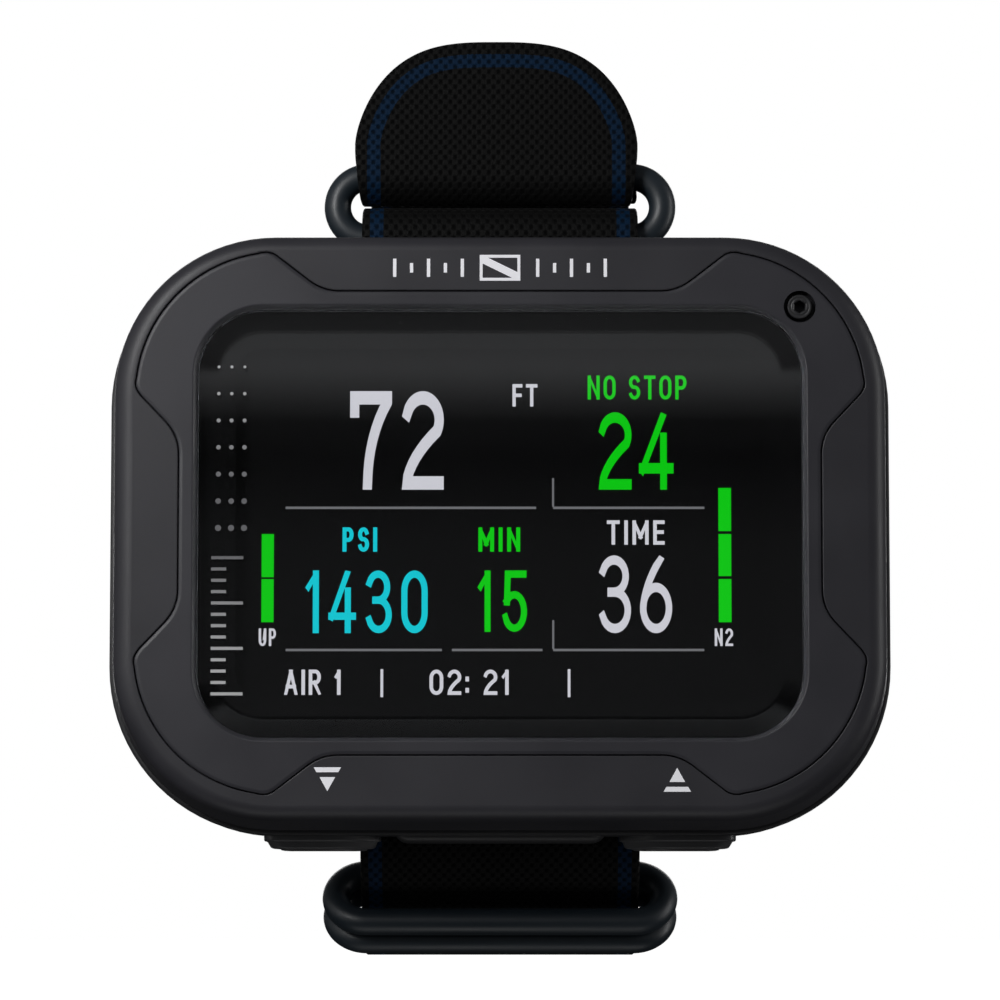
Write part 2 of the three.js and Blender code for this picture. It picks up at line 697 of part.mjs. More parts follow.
// A length of webbing: a flat band along the path, with half widths along it.
function band(points, halfWidth) {
  const positions = [];
  const triangles = [];
  points.forEach((p, i) => {
    const angle = THREE.MathUtils.degToRad(p.slope);
    const ny = (Math.sin(angle) * STRAP_THICK) / 2;
    const nz = (Math.cos(angle) * STRAP_THICK) / 2;
    const half = halfWidth(p, i);
    positions.push(-half, p.y - ny, p.z - nz, half, p.y - ny, p.z - nz);
    positions.push(half, p.y + ny, p.z + nz, -half, p.y + ny, p.z + nz);
  });
  for (let i = 0; i < points.length - 1; i += 1) {
    for (let k = 0; k < 4; k += 1) {
      const a = i * 4 + k;
      const b = i * 4 + ((k + 1) % 4);
      triangles.push(a, a + 4, b, b, a + 4, b + 4);
    }
  }
  const last = (points.length - 1) * 4;
  triangles.push(0, 1, 2, 0, 2, 3);
  triangles.push(last, last + 2, last + 1, last, last + 3, last + 2);
  return meshData(positions, triangles);
}

const UPPER_BAR_Z = RING_Z + RING_BAR;
const LOWER_BAR_Z = RING_Z - RING_BAR;
const STEEP = THREE.MathUtils.degToRad(BEND_START.slope);

// The arc that the keeper rings slide on.
const LOWER_BEND = { r: 24, y: 0, z: 0 };
LOWER_BEND.y = STRAP_Y + BEND_START.r * (1 - Math.sin(STEEP)) + LOWER_BEND.r * Math.sin(STEEP);
LOWER_BEND.z = BACK_RUN_LOW - BEND_START.r * Math.cos(STEEP) + LOWER_BEND.r * Math.cos(STEEP);

function lowerBand() {
  const path = new StrapPath(STRAP_Y, BACK_RUN_LOW + 0.8, 90);
  path.line(0.8).bend(BEND_START.r, BEND_START.slope, 4).bend(LOWER_BEND.r, BEND_END_SLOPE, 8);
  return path;
}

// Round the forearm, from the end of the lower band to the fold in the closure ring.
function forearmBand(start, rise, run) {
  const path = new StrapPath(start.y, start.z, start.slope);
  path.bend(70, -25, 2).bend(33, -90, 7);
  path.line(rise);
  path.bend(33, -155, 7).bend(70, -172, 2).bend(20, FOLD_SLOPE, 5);
  return path.line(run);
}

// The vertical rise and the last straight run that bring the band to the fold.
function closeForearmBand(start) {
  const angle = THREE.MathUtils.degToRad(FOLD_SLOPE);
  const foldY = RING_Y + FOLD_R * Math.sin(angle);
  const foldZ = UPPER_BAR_Z + FOLD_R * Math.cos(angle);
  const open = forearmBand(start, 0, 0).end;
  const run = (foldY - open.y) / Math.cos(angle);
  const rise = foldZ - (open.z - run * Math.sin(angle));
  return { rise, run };
}

function trimEnds(points, startTrim, endTrim) {
  const trimmed = points.map((p) => ({ ...p }));
  const shift = (p, towards, length) => {
    const distance = Math.hypot(towards.y - p.y, towards.z - p.z);
    p.y += ((towards.y - p.y) * length) / distance;
    p.z += ((towards.z - p.z) * length) / distance;
  };
  shift(trimmed[0], trimmed[1], startTrim);
  shift(trimmed[trimmed.length - 1], trimmed[trimmed.length - 2], endTrim);
  return trimmed;
}

const evenWidth = () => STRAP_HALF;

// Sewn end: up from behind the case, over the closure ring's lower bar and down its front.
function anchorEnd() {
  const path = new StrapPath(STRAP_Y + STRAP_THICK + 0.1, 21.6, -90);
  const sway = (RING_Y + FOLD_R - path.end.y) / 2;
  const swing = 40;
  const radius = sway / (1 - Math.cos(THREE.MathUtils.degToRad(swing)));
  const swayRise = 2 * radius * Math.sin(THREE.MathUtils.degToRad(swing));
  path.line(LOWER_BAR_Z - swayRise - path.end.z);
  path.bend(radius, -90 + swing, 3).bend(radius, -90, 3).bend(FOLD_R, -270, 10);
  path.line(LOWER_BAR_Z - BACK_RUN_HIGH - CUT);
  return band(path.points, evenWidth);
}

function backRun() {
  const path = new StrapPath(STRAP_Y, BACK_RUN_HIGH, 90);
  path.line(BACK_RUN_HIGH - BACK_RUN_LOW - 0.8 - CUT);
  return band(path.points, evenWidth);
}

function tail() {
  const path = new StrapPath(0, 0, -176);
  const angle = THREE.MathUtils.degToRad(path.end.slope);
  path.end.y = RING_Y + FOLD_R * Math.sin(angle);
  path.end.z = UPPER_BAR_Z + FOLD_R * Math.cos(angle);
  path.bend(FOLD_R, -90, 5);
  const tipStart = TAIL_TOP - TIP.length;
  path.line(tipStart - path.end.z);
  const tipSteps = 10;
  for (let i = 1; i <= tipSteps; i += 1) {
    const along = 1 - (1 - i / tipSteps) ** 2;
    path.points.push({ y: path.end.y, z: tipStart + TIP.length * along * 0.999, slope: -90 });
  }
  const strip = band(path.points, (p) => {
    const along = Math.max(0, (p.z - tipStart) / TIP.length);
    const narrow = TAIL_HALF * (1 - along ** TIP.along) ** (1 / TIP.across);
    return p.z < UPPER_BAR_Z + 0.01 ? FOLD_HALF : narrow;
  });
  return strip.translate(TAIL_X, 0, 0);
}

// ---------- assembly ----------
const computer = new THREE.Group();

function add(name, geometry, material) {
  const mesh = new THREE.Mesh(geometry, material);
  mesh.name = name;
  computer.add(mesh);
}

add('front_housing', frontHousing(), materials.shell);
add('bezel_plate', bezelPlate(), materials.plate);
add('window_lens', windowLens(), materials.glass);
add('window_gasket', windowGasket(), materials.seal);
add('rear_housing', rearHousing(), materials.shell);
add('main_seal', mainSeal(), materials.seal);
add('port_plug_screw', plugScrew(), materials.steel);
add('port_plug_seal', plugSeal(), materials.seal);

add('display_panel', panelSlab(4.8, 6.2), materials.glass);
add('display_backlight', panelSlab(6.35, 8.2), materials.diffuser);
add('display_frame', displayFrame(), materials.black);
add('display_ribbon', box(-6, 6, 9.2, 9.5, -18, -8), materials.flex);
add('circuit_board', circuitBoard(), materials.board);
add('processor_chip', box(-5, 5, 9.1, 10.2, 2, 12), materials.chip);
add('memory_chip', box(9, 15, 9.3, 10.2, 3, 11), materials.chip);
add('radio_module', box(-24, -12, 9, 10.2, -6, 10), materials.foil);
add('compass_sensor', box(20, 23, 9.4, 10.2, -10, -7), materials.chip);
add('pressure_sensor', pressureSensor(), materials.steel);
add('pressure_sensor_seal',
  roundSeal(2.95, 0.42).rotateX(Math.PI / 2).translate(SENSOR.x, 18.7, SENSOR.z), materials.seal);
add('pressure_port_grille', sensorGrille(), materials.steel);
add('buzzer', turnedY([[0, 17.2], [5.5, 17.2], [5.5, 19.2], [0, 19.2]], 26.5, -12.5), materials.gold);
add('vibration_motor', turnedY([[0, 15.6], [5, 15.6], [5, 19], [0, 19]], -26.5, -6), materials.steel);
add('antenna_coil', antennaCoil(), materials.copper);
add('battery_pack', box(-16.5, 16.5, 12.1, 16.1, -14, 20), materials.foil);
add('battery_pad', box(-14, 14, 16.25, 16.65, -12, 18), materials.foam);
add('charge_contact_block', contactBlock(), materials.black);
eachContact((x, z) => contactPin(x, z)).forEach((pin, i) => {
  add(`charge_contact_${i + 1}`, pin, materials.gold);
});

const corners = ['top_right', 'top_left', 'bottom_left', 'bottom_right'];
eachCaseScrew((x, z) => screwY(x, z, 2, 20.15, 21.4, 1, 6.4, 0.9)).forEach((screw, i) => {
  add(`case_screw_${corners[i]}`, screw, materials.steel);
});

[[-1, 'down'], [1, 'up']].forEach(([side, way]) => {
  add(`button_cap_${way}`, buttonCap(side), materials.black);
  add(`button_spring_${way}`, returnSpring(side), materials.steel);
  add(`button_seal_${way}`, shaftSeal(side), materials.seal);
  add(`button_clip_${way}`, retainingClip(side), materials.steel);
  add(`switch_${way}`, tactSwitch(side), materials.chip);
});

[[1, 'top'], [-1, 'bottom']].forEach(([side, place]) => {
  const plan = roundedShape({ hx: 21.8, hz: 3.5, r: 2.6 }, 0, side * BRIDGE_Z, 4);
  const holes = [-1, 1].map((sx) => diskY(1.1, sx * BRIDGE_SCREW_X, side * BRIDGE_Z, 21, 24, 10));
  const sinks = [-1, 1].map((sx) => diskY(1.9, sx * BRIDGE_SCREW_X, side * BRIDGE_Z, 22.6, 24, 12));
  add(`strap_bridge_${place}`, cut(slab(plan, 21.7, 23.4), ...holes, ...sinks), materials.shell);
});
const bridgeCorners = ['top_left', 'top_right', 'bottom_left', 'bottom_right'];
eachBridgeScrew((x, z) => screwY(x, z, 1.6, 22.7, 23.4, 0.75, 18.3, 0.7)).forEach((screw, i) => {
  add(`bridge_screw_${bridgeCorners[i]}`, screw, materials.steel);
});

add('closure_ring', strapRing().translate(0, RING_Y, RING_Z), materials.ring);
add('keeper_ring_front', keeperRing(KEEPER_ANGLES[0]), materials.ring);
add('keeper_ring_rear', keeperRing(KEEPER_ANGLES[1]), materials.ring);

const lower = lowerBand();
const closing = closeForearmBand(lower.end);
const forearm = forearmBand(lower.end, closing.rise, closing.run);
add('strap_sewn_eye', anchorEnd(), materials.webbing);
add('strap_back_run', backRun(), materials.webbing);
add('strap_keeper_run', band(trimEnds(lower.points, 0, CUT), evenWidth), materials.webbing);
add('strap_forearm_band', band(trimEnds(forearm.points, CUT, CUT), evenWidth), materials.webbing);
add('strap_tail', tail(), materials.webbing);

computer.position.set(0, -FOREARM_Y, 0);

export default computer;
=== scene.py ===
import bisect
import json
import math

import bmesh
import bpy
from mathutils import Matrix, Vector


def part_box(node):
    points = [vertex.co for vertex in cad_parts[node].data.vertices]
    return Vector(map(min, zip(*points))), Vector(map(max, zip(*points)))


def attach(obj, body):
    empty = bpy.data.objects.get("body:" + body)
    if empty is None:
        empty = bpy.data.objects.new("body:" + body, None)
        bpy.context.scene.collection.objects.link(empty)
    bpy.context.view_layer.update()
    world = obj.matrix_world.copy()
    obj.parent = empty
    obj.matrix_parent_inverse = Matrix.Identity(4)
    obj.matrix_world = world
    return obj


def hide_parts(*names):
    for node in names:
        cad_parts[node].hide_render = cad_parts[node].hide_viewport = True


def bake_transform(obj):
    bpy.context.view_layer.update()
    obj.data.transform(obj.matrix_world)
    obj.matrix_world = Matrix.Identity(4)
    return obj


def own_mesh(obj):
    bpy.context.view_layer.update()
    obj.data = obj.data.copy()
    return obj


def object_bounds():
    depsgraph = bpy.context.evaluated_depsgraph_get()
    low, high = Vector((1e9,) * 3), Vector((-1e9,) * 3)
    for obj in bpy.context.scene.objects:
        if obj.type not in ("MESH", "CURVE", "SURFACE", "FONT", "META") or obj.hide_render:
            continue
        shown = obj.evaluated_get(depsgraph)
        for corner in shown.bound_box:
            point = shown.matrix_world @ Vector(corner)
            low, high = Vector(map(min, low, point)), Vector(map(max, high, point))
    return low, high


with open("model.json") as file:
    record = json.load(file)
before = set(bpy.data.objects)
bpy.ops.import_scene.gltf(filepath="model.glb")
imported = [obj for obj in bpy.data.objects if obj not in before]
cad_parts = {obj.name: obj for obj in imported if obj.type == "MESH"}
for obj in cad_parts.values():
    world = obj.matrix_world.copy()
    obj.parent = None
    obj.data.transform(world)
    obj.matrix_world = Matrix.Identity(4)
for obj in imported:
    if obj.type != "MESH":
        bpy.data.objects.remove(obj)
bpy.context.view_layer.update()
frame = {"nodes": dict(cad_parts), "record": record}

MM = 0.001
FRONT_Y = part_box("front_housing")[0].y


def extent(node):
    """Where a CAD node is: x, depth and z, each as (lowest, highest)."""
    low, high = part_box(node)
    depths = ((low.y - FRONT_Y) / MM, (high.y - FRONT_Y) / MM)
    return (low.x / MM, high.x / MM), depths, (low.z / MM, high.z / MM)


def place(x, depth, z):
    return Vector((x * MM, FRONT_Y + depth * MM, z * MM))


def middle(span):
    return (span[0] + span[1]) / 2


def centre_of(node):
    """The middle of a CAD node as (x, z)."""
    xs, _, zs = extent(node)
    return middle(xs), middle(zs)


def link(thing):
    bpy.context.scene.collection.objects.link(thing)


# ---------- driving sizes, from the frame ----------
(_, CASE_HX), (_, SEAM), (_, CASE_HZ) = extent("front_housing")
CASE_R = 17.3
FACE_INSET = (2.9, 2.3)
DRAFT_INSET = (0.9, 0.7)
EDGE_DEPTH = 2.0
(_, REAR_HX), (SPIGOT_FRONT, BACK), (_, REAR_HZ) = extent("rear_housing")
BACK_ROUND = 2.8

(_, LENS_HX), (LENS_FRONT, LENS_BACK), LENS_Z = extent("window_lens")
FACE_Z = middle(LENS_Z)
LENS_HZ = LENS_Z[1] - FACE_Z
WINDOW_R = 6.8
LENS_ROOM = 0.15  # between the lens and the shell
PLATE_THICK = extent("bezel_plate")[1][1]
PLATE_POCKET = PLATE_THICK + 0.2
PANEL_FRONT = extent("display_panel")[1][0]

PLUG_X, PLUG_Z = centre_of("port_plug_screw")
SENSOR_X, SENSOR_Z = centre_of("pressure_port_grille")
CORNERS = ("top_right", "top_left", "bottom_left", "bottom_right")
BRIDGE_Z = middle(extent("strap_bridge_top")[2])
BRIDGE_FRONT, BRIDGE_BACK = extent("strap_bridge_top")[1]
CAP_LOW = extent("button_cap_down")[2][0]
CAP_HIGH = -29.9

RING_TUBE = (extent("closure_ring")[1][1] - extent("closure_ring")[1][0]) / 2
RING_HALF = extent("closure_ring")[0][1] - RING_TUBE
RING_BAR = (extent("closure_ring")[2][1] - extent("closure_ring")[2][0]) / 2 - RING_TUBE
RING_DEPTH = middle(extent("closure_ring")[1])
RING_Z = middle(extent("closure_ring")[2])
KEEPER_TILT = 40

STRAP_THICK = extent("strap_back_run")[1][1] - extent("strap_back_run")[1][0]
WEBBING_THICK = STRAP_THICK + 0.2  # the weave stands a little proud of the plain strip
STRAP_HALF = extent("strap_back_run")[0][1]
STRAP_DEPTH = middle(extent("strap_back_run")[1])
FOLD_R = RING_DEPTH - STRAP_DEPTH
UPPER_BAR_Z = RING_Z + RING_BAR
LOWER_BAR_Z = RING_Z - RING_BAR
TAIL_TOP = extent("strap_tail")[2][1]
TAIL_X = middle(extent("strap_tail")[0])
TAIL_HALF = extent("strap_tail")[0][1] - TAIL_X
TIP_LENGTH, TIP_ALONG, TIP_ACROSS = 11.0, 1.5, 3.2  # the rounded end, and the exponents of its curve


# ---------- camera, light and floor ----------
def add_camera():
    pitch = math.radians(5.5)
    distance = 462.06
    sight = Vector((0, math.cos(pitch), math.sin(pitch)))
    data = bpy.data.cameras.new("camera")
    data.sensor_width = 36
    data.lens = 161.5
    data.clip_start = 0.01
    data.clip_end = 20
    camera = bpy.data.objects.new("camera", data)
    camera.location = place(0, 0, 2.7) - sight * distance * MM
    camera.rotation_euler = (math.pi / 2 + pitch, 0, 0)
    link(camera)
    bpy.context.scene.camera = camera


def add_softbox(name, location, target, width, height, power):
    data = bpy.data.lights.new(name, "AREA")
    data.shape = "RECTANGLE"
    data.size = width * MM
    data.size_y = height * MM
    data.energy = power
    light = bpy.data.objects.new(name, data)
    light.visible_camera = False
    light.location = place(*location)
    light.rotation_euler = (place(*target) - place(*location)).to_track_quat("-Z", "Y").to_euler()
    link(light)


def add_studio():
    centre = (0, 10, 0)
    add_softbox("key", (-130, -180, 100), centre, 60, 130, 0.32)
    add_softbox("left", (-480, -300, 90), centre, 160, 420, 0.22)
    add_softbox("side_left", (-560, -40, 60), centre, 160, 420, 0.08)
    add_softbox("side_right", (560, -60, 60), centre, 160, 420, 0.75)
    add_softbox("low", (0, -130, -420), centre, 420, 160, 0.20)
    add_softbox("back", (0, 450, 120), (0, 60, 0), 420, 260, 1.0)
    bpy.context.scene.world = studio_air()
    bpy.context.scene.view_settings.view_transform = "Standard"


def studio_air():
    """White behind the object; to everything else a dim room, whose brightness changes with height as
    the glass mirrors it: a dark band just over level, then a bright one."""
    world = bpy.data.worlds.new("studio")
    world.use_nodes = True
    tree = world.node_tree
    direction = add_node(tree, "ShaderNodeTexCoord").outputs["Generated"]
    height = add_node(tree, "ShaderNodeSeparateXYZ", {0: direction}).outputs["Z"]
    ramp = add_node(tree, "ShaderNodeValToRGB", {"Fac": height})
    levels = ((0.0, 0.015), (0.03, 0.085), (0.085, 0.06), (0.105, 0.015), (0.1145, 0.04), (0.1245, 0.38),
              (0.137, 0.34), (0.16, 0.18), (0.35, 0.15), (0.5, 0.08))
    stops = ramp.color_ramp.elements
    for i, (where, value) in enumerate(levels):
        stop = stops[i] if i < 2 else stops.new(where)
        stop.position = where
        stop.color = (value * 0.96, value * 0.97, value, 1)
    room = tree.nodes["Background"]
    room.inputs["Strength"].default_value = 1.0
    tree.links.new(ramp.outputs["Color"], room.inputs["Color"])
    paper = add_node(tree, "ShaderNodeBackground", {"Color": (1, 1, 1, 1), "Strength": 1.0})
    seen = add_node(tree, "ShaderNodeLightPath").outputs["Is Camera Ray"]
    sides = {"Fac": seen, 1: room.outputs["Background"], 2: paper.outputs["Background"]}
    mix = add_node(tree, "ShaderNodeMixShader", sides)
    tree.links.new(mix.outputs["Shader"], tree.nodes["World Output"].inputs["Surface"])
    return world


def add_floor():
    """A pale floor that only the camera sees."""
    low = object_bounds()[0].z - 6 * MM  # a keeper ring swings lower than the strap
    half = 4.0
    mesh = bpy.data.meshes.new("floor")
    corners = [(-half, -half), (half, -half), (half, half), (-half, half)]
    mesh.from_pydata([(x, y, low) for x, y in corners], [], [(0, 1, 2, 3)])
    floor = bpy.data.objects.new("floor", mesh)
    link(floor)
    finish = Finish("pale_floor", {
        "Base Color": (0.93, 0.93, 0.93, 1), "Roughness": 0.9, "Emission Color": (1, 1, 1, 1),
        "Emission Strength": 1.0,
    })
    mesh.materials.append(finish.material)
    floor.visible_diffuse = False
    floor.visible_glossy = False
    floor.visible_shadow = False


# ---------- materials ----------
def add_node(tree, kind, inputs=None, **settings):
    """Adds a shader node. Each input is a value, or the output to link to it."""
    node = tree.nodes.new(kind)
    for key, value in settings.items():
        setattr(node, key, value)
    for socket, value in (inputs or {}).items():
        if isinstance(value, bpy.types.NodeSocket):
            tree.links.new(value, node.inputs[socket])
        else:
            node.inputs[socket].default_value = value
    return node


class Finish:
    """A procedural material, with short calls for its nodes. Coordinates are the object's own, in metres."""

    def __init__(self, name, settings):
        self.material = bpy.data.materials.new(name)
        self.material.use_nodes = True
        self.tree = self.material.node_tree
        self.shader = self.tree.nodes["Principled BSDF"]
        for socket, value in settings.items():
            self.shader.inputs[socket].default_value = value

    def add(self, kind, inputs=None, **settings):
        return add_node(self.tree, kind, inputs, **settings)

    def set(self, socket, output):
        self.tree.links.new(output, self.shader.inputs[socket])

    def noise(self, size, detail=2.0, stretch=(1, 1, 1)):
        """Noise with grains of about that many millimetres, from 0 to 1."""
        coordinates = self.add("ShaderNodeTexCoord").outputs["Object"]
        mapped = self.add("ShaderNodeMapping", {"Vector": coordinates, "Scale": stretch}).outputs["Vector"]
        settings = {"Vector": mapped, "Scale": 1 / (size * MM), "Detail": detail}
        return self.add("ShaderNodeTexNoise", settings).outputs["Fac"]

    def spread(self, value, low, high, new_low=0.0, new_high=1.0):
        settings = {"Value": value, "From Min": low, "From Max": high, "To Min": new_low, "To Max": new_high}
        return self.add("ShaderNodeMapRange", settings).outputs["Result"]

    def math(self, operation, first, second=0.0):
        return self.add("ShaderNodeMath", {0: first, 1: second}, operation=operation).outputs["Value"]

    def blend(self, factor, first, second):
        """A mix of two colours."""
        node = self.add("ShaderNodeMix", {"Factor": factor}, data_type="RGBA")
        for socket, value in ((node.inputs[6], first), (node.inputs[7], second)):
            if isinstance(value, bpy.types.NodeSocket):
                self.tree.links.new(value, socket)
            else:
                socket.default_value = (*value, 1)
        return node.outputs[2]

    def bump(self, height, depth, strength=1.0):
        """Relief of that many millimetres."""
        settings = {"Height": height, "Distance": depth * MM, "Strength": strength}
        self.set("Normal", self.add("ShaderNodeBump", settings).outputs["Normal"])


def moulded(name, color, roughness, grain=0.12, relief=0.012):
    """Moulded plastic with a fine spark-eroded grain."""
    finish = Finish(name, {"Specular IOR Level": 0.5})
    fine = finish.noise(grain, 3.0)
    cloud = finish.noise(9.0, 3.0)
    lighter = tuple(min(1, c * 1.25) for c in color)
    darker = tuple(c * 0.85 for c in color)
    finish.set("Base Color", finish.blend(cloud, darker, lighter))
    worn = finish.spread(cloud, 0.3, 0.7, roughness - 0.05, roughness + 0.05)
    finish.set("Roughness", finish.math("ADD", worn, finish.spread(fine, 0.3, 0.7, -0.04, 0.04)))
    finish.bump(fine, relief, 0.6)
    return finish.material


def elastomer(name, color, roughness):
    """Smooth moulded rubber with faint flow marks and dust-fine pits."""
    finish = Finish(name, {"Specular IOR Level": 0.6})
    flow = finish.noise(6.0, 4.0, (0.3, 1, 1))
    finish.set("Base Color", finish.blend(flow, tuple(c * 0.8 for c in color), tuple(c * 1.3 for c in color)))
    finish.set("Roughness", finish.spread(flow, 0.3, 0.7, roughness - 0.05, roughness + 0.07))
    finish.bump(finish.noise(0.3, 2.0), 0.01, 0.35)
    return finish.material


def metal(name, color, roughness, brush=(1, 1, 1)):
    finish = Finish(name, {"Metallic": 1.0})
    lines = finish.noise(0.15, 3.0, brush)
    stain = finish.noise(4.0, 2.0)
    finish.set("Base Color", finish.blend(stain, tuple(c * 0.85 for c in color), color))
    finish.set("Roughness", finish.spread(lines, 0.3, 0.7, roughness - 0.06, roughness + 0.1))
    finish.bump(lines, 0.006, 0.5)
    return finish.material


def painted(name, color, roughness, painted_glow=0.0):
    """Pad-printed ink: thin and slightly uneven; the glow, when set, is painted light that makes the ink
    brighter than the lamps alone would.
    """
    finish = Finish(name, {"Emission Color": (*color, 1), "Emission Strength": painted_glow})
    speck = finish.noise(0.2, 2.0)
    finish.set("Base Color", finish.blend(speck, tuple(c * 0.88 for c in color), color))
    finish.set("Roughness", finish.spread(speck, 0.3, 0.7, roughness - 0.05, roughness + 0.05))
    return finish.material


def glass_ink(name):
    """Ink on the glass, brightest at the top and the bottom of the window."""
    finish = Finish(name, {"Roughness": 0.5})
    axes = finish.add("ShaderNodeSeparateXYZ", {0: finish.add("ShaderNodeTexCoord").outputs["Object"]})
    away = finish.math("ABSOLUTE", finish.math("SUBTRACT", axes.outputs["Z"], 1.0 * MM))
    speck = finish.math("MULTIPLY", finish.noise(0.2, 2.0), 0.1)
    share = finish.math("SUBTRACT", finish.spread(away, 3 * MM, 15 * MM), speck)
    finish.set("Base Color", finish.blend(share, (0.16, 0.16, 0.17), (0.62, 0.62, 0.63)))
    return finish.material


def lit(name, color, strength):
    """Lit pixels of the display, with the faint grid of its rows."""
    settings = {"Base Color": (0, 0, 0, 1), "Specular IOR Level": 0.0, "Emission Strength": strength}
    finish = Finish(name, settings)
    grid = finish.noise(0.12, 0.0)
    finish.set("Emission Color", finish.blend(grid, tuple(c * 0.93 for c in color), color))
    return finish.material


def screen_black(name):
    finish = Finish(name, {"Specular IOR Level": 0.02})
    cloud = finish.noise(14.0, 2.0)
    finish.set("Base Color", finish.blend(cloud, (0.0003, 0.0003, 0.0004), (0.0006, 0.0006, 0.0007)))
    finish.set("Roughness", finish.spread(cloud, 0.3, 0.7, 0.5, 0.6))
    return finish.material


def window_glass():
    """Clear glass with a faint uneven tint."""
    finish = Finish("window_glass", {"Roughness": 0.0, "Transmission Weight": 1.0, "IOR": 1.5})
    tint = finish.noise(7.0, 3.0, (1, 1, 0.25))
    finish.set("Base Color", finish.blend(tint, (0.91, 0.94, 0.95), (0.95, 0.96, 0.97)))
    return finish.material


def webbing():
    """Black woven elastic with a blue line along each edge. The first UV map runs across and along the
    strap in metres, and the second holds the distance from the edge."""
    settings = {"Specular IOR Level": 0.12, "Sheen Weight": 0.015, "Sheen Roughness": 0.4}
    finish = Finish("woven_elastic", settings)
    weave = finish.add("ShaderNodeUVMap", uv_map="weave").outputs["UV"]
    axes = finish.add("ShaderNodeSeparateXYZ", {0: weave})
    warp_pitch = 0.52
    weft_pitch = 0.55
    warp = finish.math("SINE", finish.math("MULTIPLY", axes.outputs["X"], math.pi / (warp_pitch * MM)))
    weft = finish.math("SINE", finish.math("MULTIPLY", axes.outputs["Y"], math.pi / (weft_pitch * MM)))
    cell = finish.math("MULTIPLY", warp, weft)
    yarn = finish.spread(cell, -0.75, 0.15)
    fibre = finish.add("ShaderNodeTexNoise", {"Vector": weave, "Scale": 5000.0, "Detail": 3.0}).outputs["Fac"]
    height = finish.math("ADD", finish.math("MULTIPLY", yarn, 0.7), finish.math("MULTIPLY", fibre, 0.5))
    thread = finish.spread(height, 0.2, 1.0)
    black = finish.blend(thread, (0.0004, 0.0004, 0.0005), (0.0045, 0.0045, 0.0045))
    blue = finish.blend(thread, (0.0006, 0.004, 0.010), (0.0012, 0.0165, 0.048))
    edge = finish.add("ShaderNodeUVMap", uv_map="edge").outputs["UV"]
    inwards = finish.add("ShaderNodeSeparateXYZ", {0: edge}).outputs["X"]
    distance = finish.math("ADD", inwards, finish.math("MULTIPLY", fibre, 0.2 * MM))
    line_middle, line_half = 2.15 * MM, 0.72 * MM
    off = finish.math("ABSOLUTE", finish.math("SUBTRACT", distance, line_middle))
    line = finish.math("LESS_THAN", off, line_half)
    finish.set("Base Color", finish.blend(line, black, blue))
    finish.set("Roughness", finish.spread(thread, 0.0, 1.0, 0.95, 0.6))
    finish.bump(height, 0.16, 0.9)
    return finish.material


def stripes(name, first, second, pitch, roughness):
    """Fine parallel bands, for the copper windings and film of the inner parts."""
    finish = Finish(name, {})
    coordinates = finish.add("ShaderNodeTexCoord").outputs["Object"]
    settings = {"Vector": coordinates, "Scale": 0.3 / (pitch * MM)}
    waves = finish.add("ShaderNodeTexWave", settings).outputs["Fac"]
    finish.set("Base Color", finish.blend(waves, first, second))
    finish.set("Roughness", finish.spread(waves, 0.0, 1.0, roughness, roughness + 0.2))
    finish.bump(waves, 0.02, 0.5)
    return finish.material


def make_materials():
    return {
        "shell": moulded("shell_plastic", (0.0305, 0.030, 0.036), 0.48),
        "bezel": moulded("bezel_plastic", (0.0345, 0.034, 0.041), 0.46),
        "rear": moulded("rear_plastic", (0.026, 0.026, 0.028), 0.5),
        "button": moulded("button_plastic", (0.07, 0.07, 0.073), 0.38),
        "inner_plastic": moulded("inner_plastic", (0.02, 0.02, 0.022), 0.6),
        "chip": moulded("chip_epoxy", (0.018, 0.018, 0.02), 0.45),
        "board": moulded("solder_mask", (0.01, 0.09, 0.035), 0.35),
        "backlight": moulded("diffuser", (0.75, 0.76, 0.78), 0.5),
        "plug": moulded("plug_plastic", (0.030, 0.030, 0.032), 0.4),
        "foam": moulded("foam", (0.10, 0.10, 0.11), 0.9, 0.4, 0.1),
        "seal": elastomer("seal_rubber", (0.012, 0.012, 0.013), 0.5),
        "ring": elastomer("ring_rubber", (0.013, 0.020, 0.027), 0.42),
        "steel": metal("stainless_steel", (0.55, 0.56, 0.58), 0.28, (1, 1, 6)),
        "gold": metal("gold_plate", (0.83, 0.62, 0.26), 0.25),
        "foil": metal("dull_foil", (0.6, 0.62, 0.64), 0.4),
        "copper": stripes("copper_winding", (0.55, 0.22, 0.10), (0.75, 0.35, 0.18), 0.3, 0.3),
        "ribbon": stripes("polyimide_film", (0.42, 0.17, 0.03), (0.5, 0.22, 0.05), 0.5, 0.35),
        "display": screen_black("screen_black"),
        "lens": window_glass(),
        "webbing": webbing(),
        # the white ink is given a painted glow, which shows it brighter than the lamps light it
        "ink": painted("white_ink_painted_glow", (0.90, 0.90, 0.94), 0.5, 0.25),
        "glass_ink": glass_ink("glass_ink"),
        "thread": painted("black_thread", (0.012, 0.012, 0.013), 0.8),
        "lit_white": lit("lit_white", (0.66, 0.65, 0.70), 1.05),
        "lit_green": lit("lit_green", (0.003, 0.60, 0.006), 1.05),
        "lit_cyan": lit("lit_cyan", (0.006, 0.60, 0.68), 1.05),
        "lit_grey": lit("lit_grey", (0.17, 0.17, 0.18), 1.0),
    }


# ---------- meshes ----------
def new_object(name, vertices, faces, material, smooth_angle=35):
    """A mesh of points in millimetres, with its faces turned outwards and smoothed up to an angle."""
    mesh = bpy.data.meshes.new(name)
    mesh.from_pydata([place(*v) for v in vertices], [], faces)
    tidy = bmesh.new()
    tidy.from_mesh(mesh)
    bmesh.ops.remove_doubles(tidy, verts=tidy.verts, dist=1e-7)
    bmesh.ops.recalc_face_normals(tidy, faces=tidy.faces)
    tidy.to_mesh(mesh)
    tidy.free()
    piece = bpy.data.objects.new(name, mesh)
    link(piece)
    mesh.materials.append(material)
    smooth(piece, smooth_angle)
    return piece


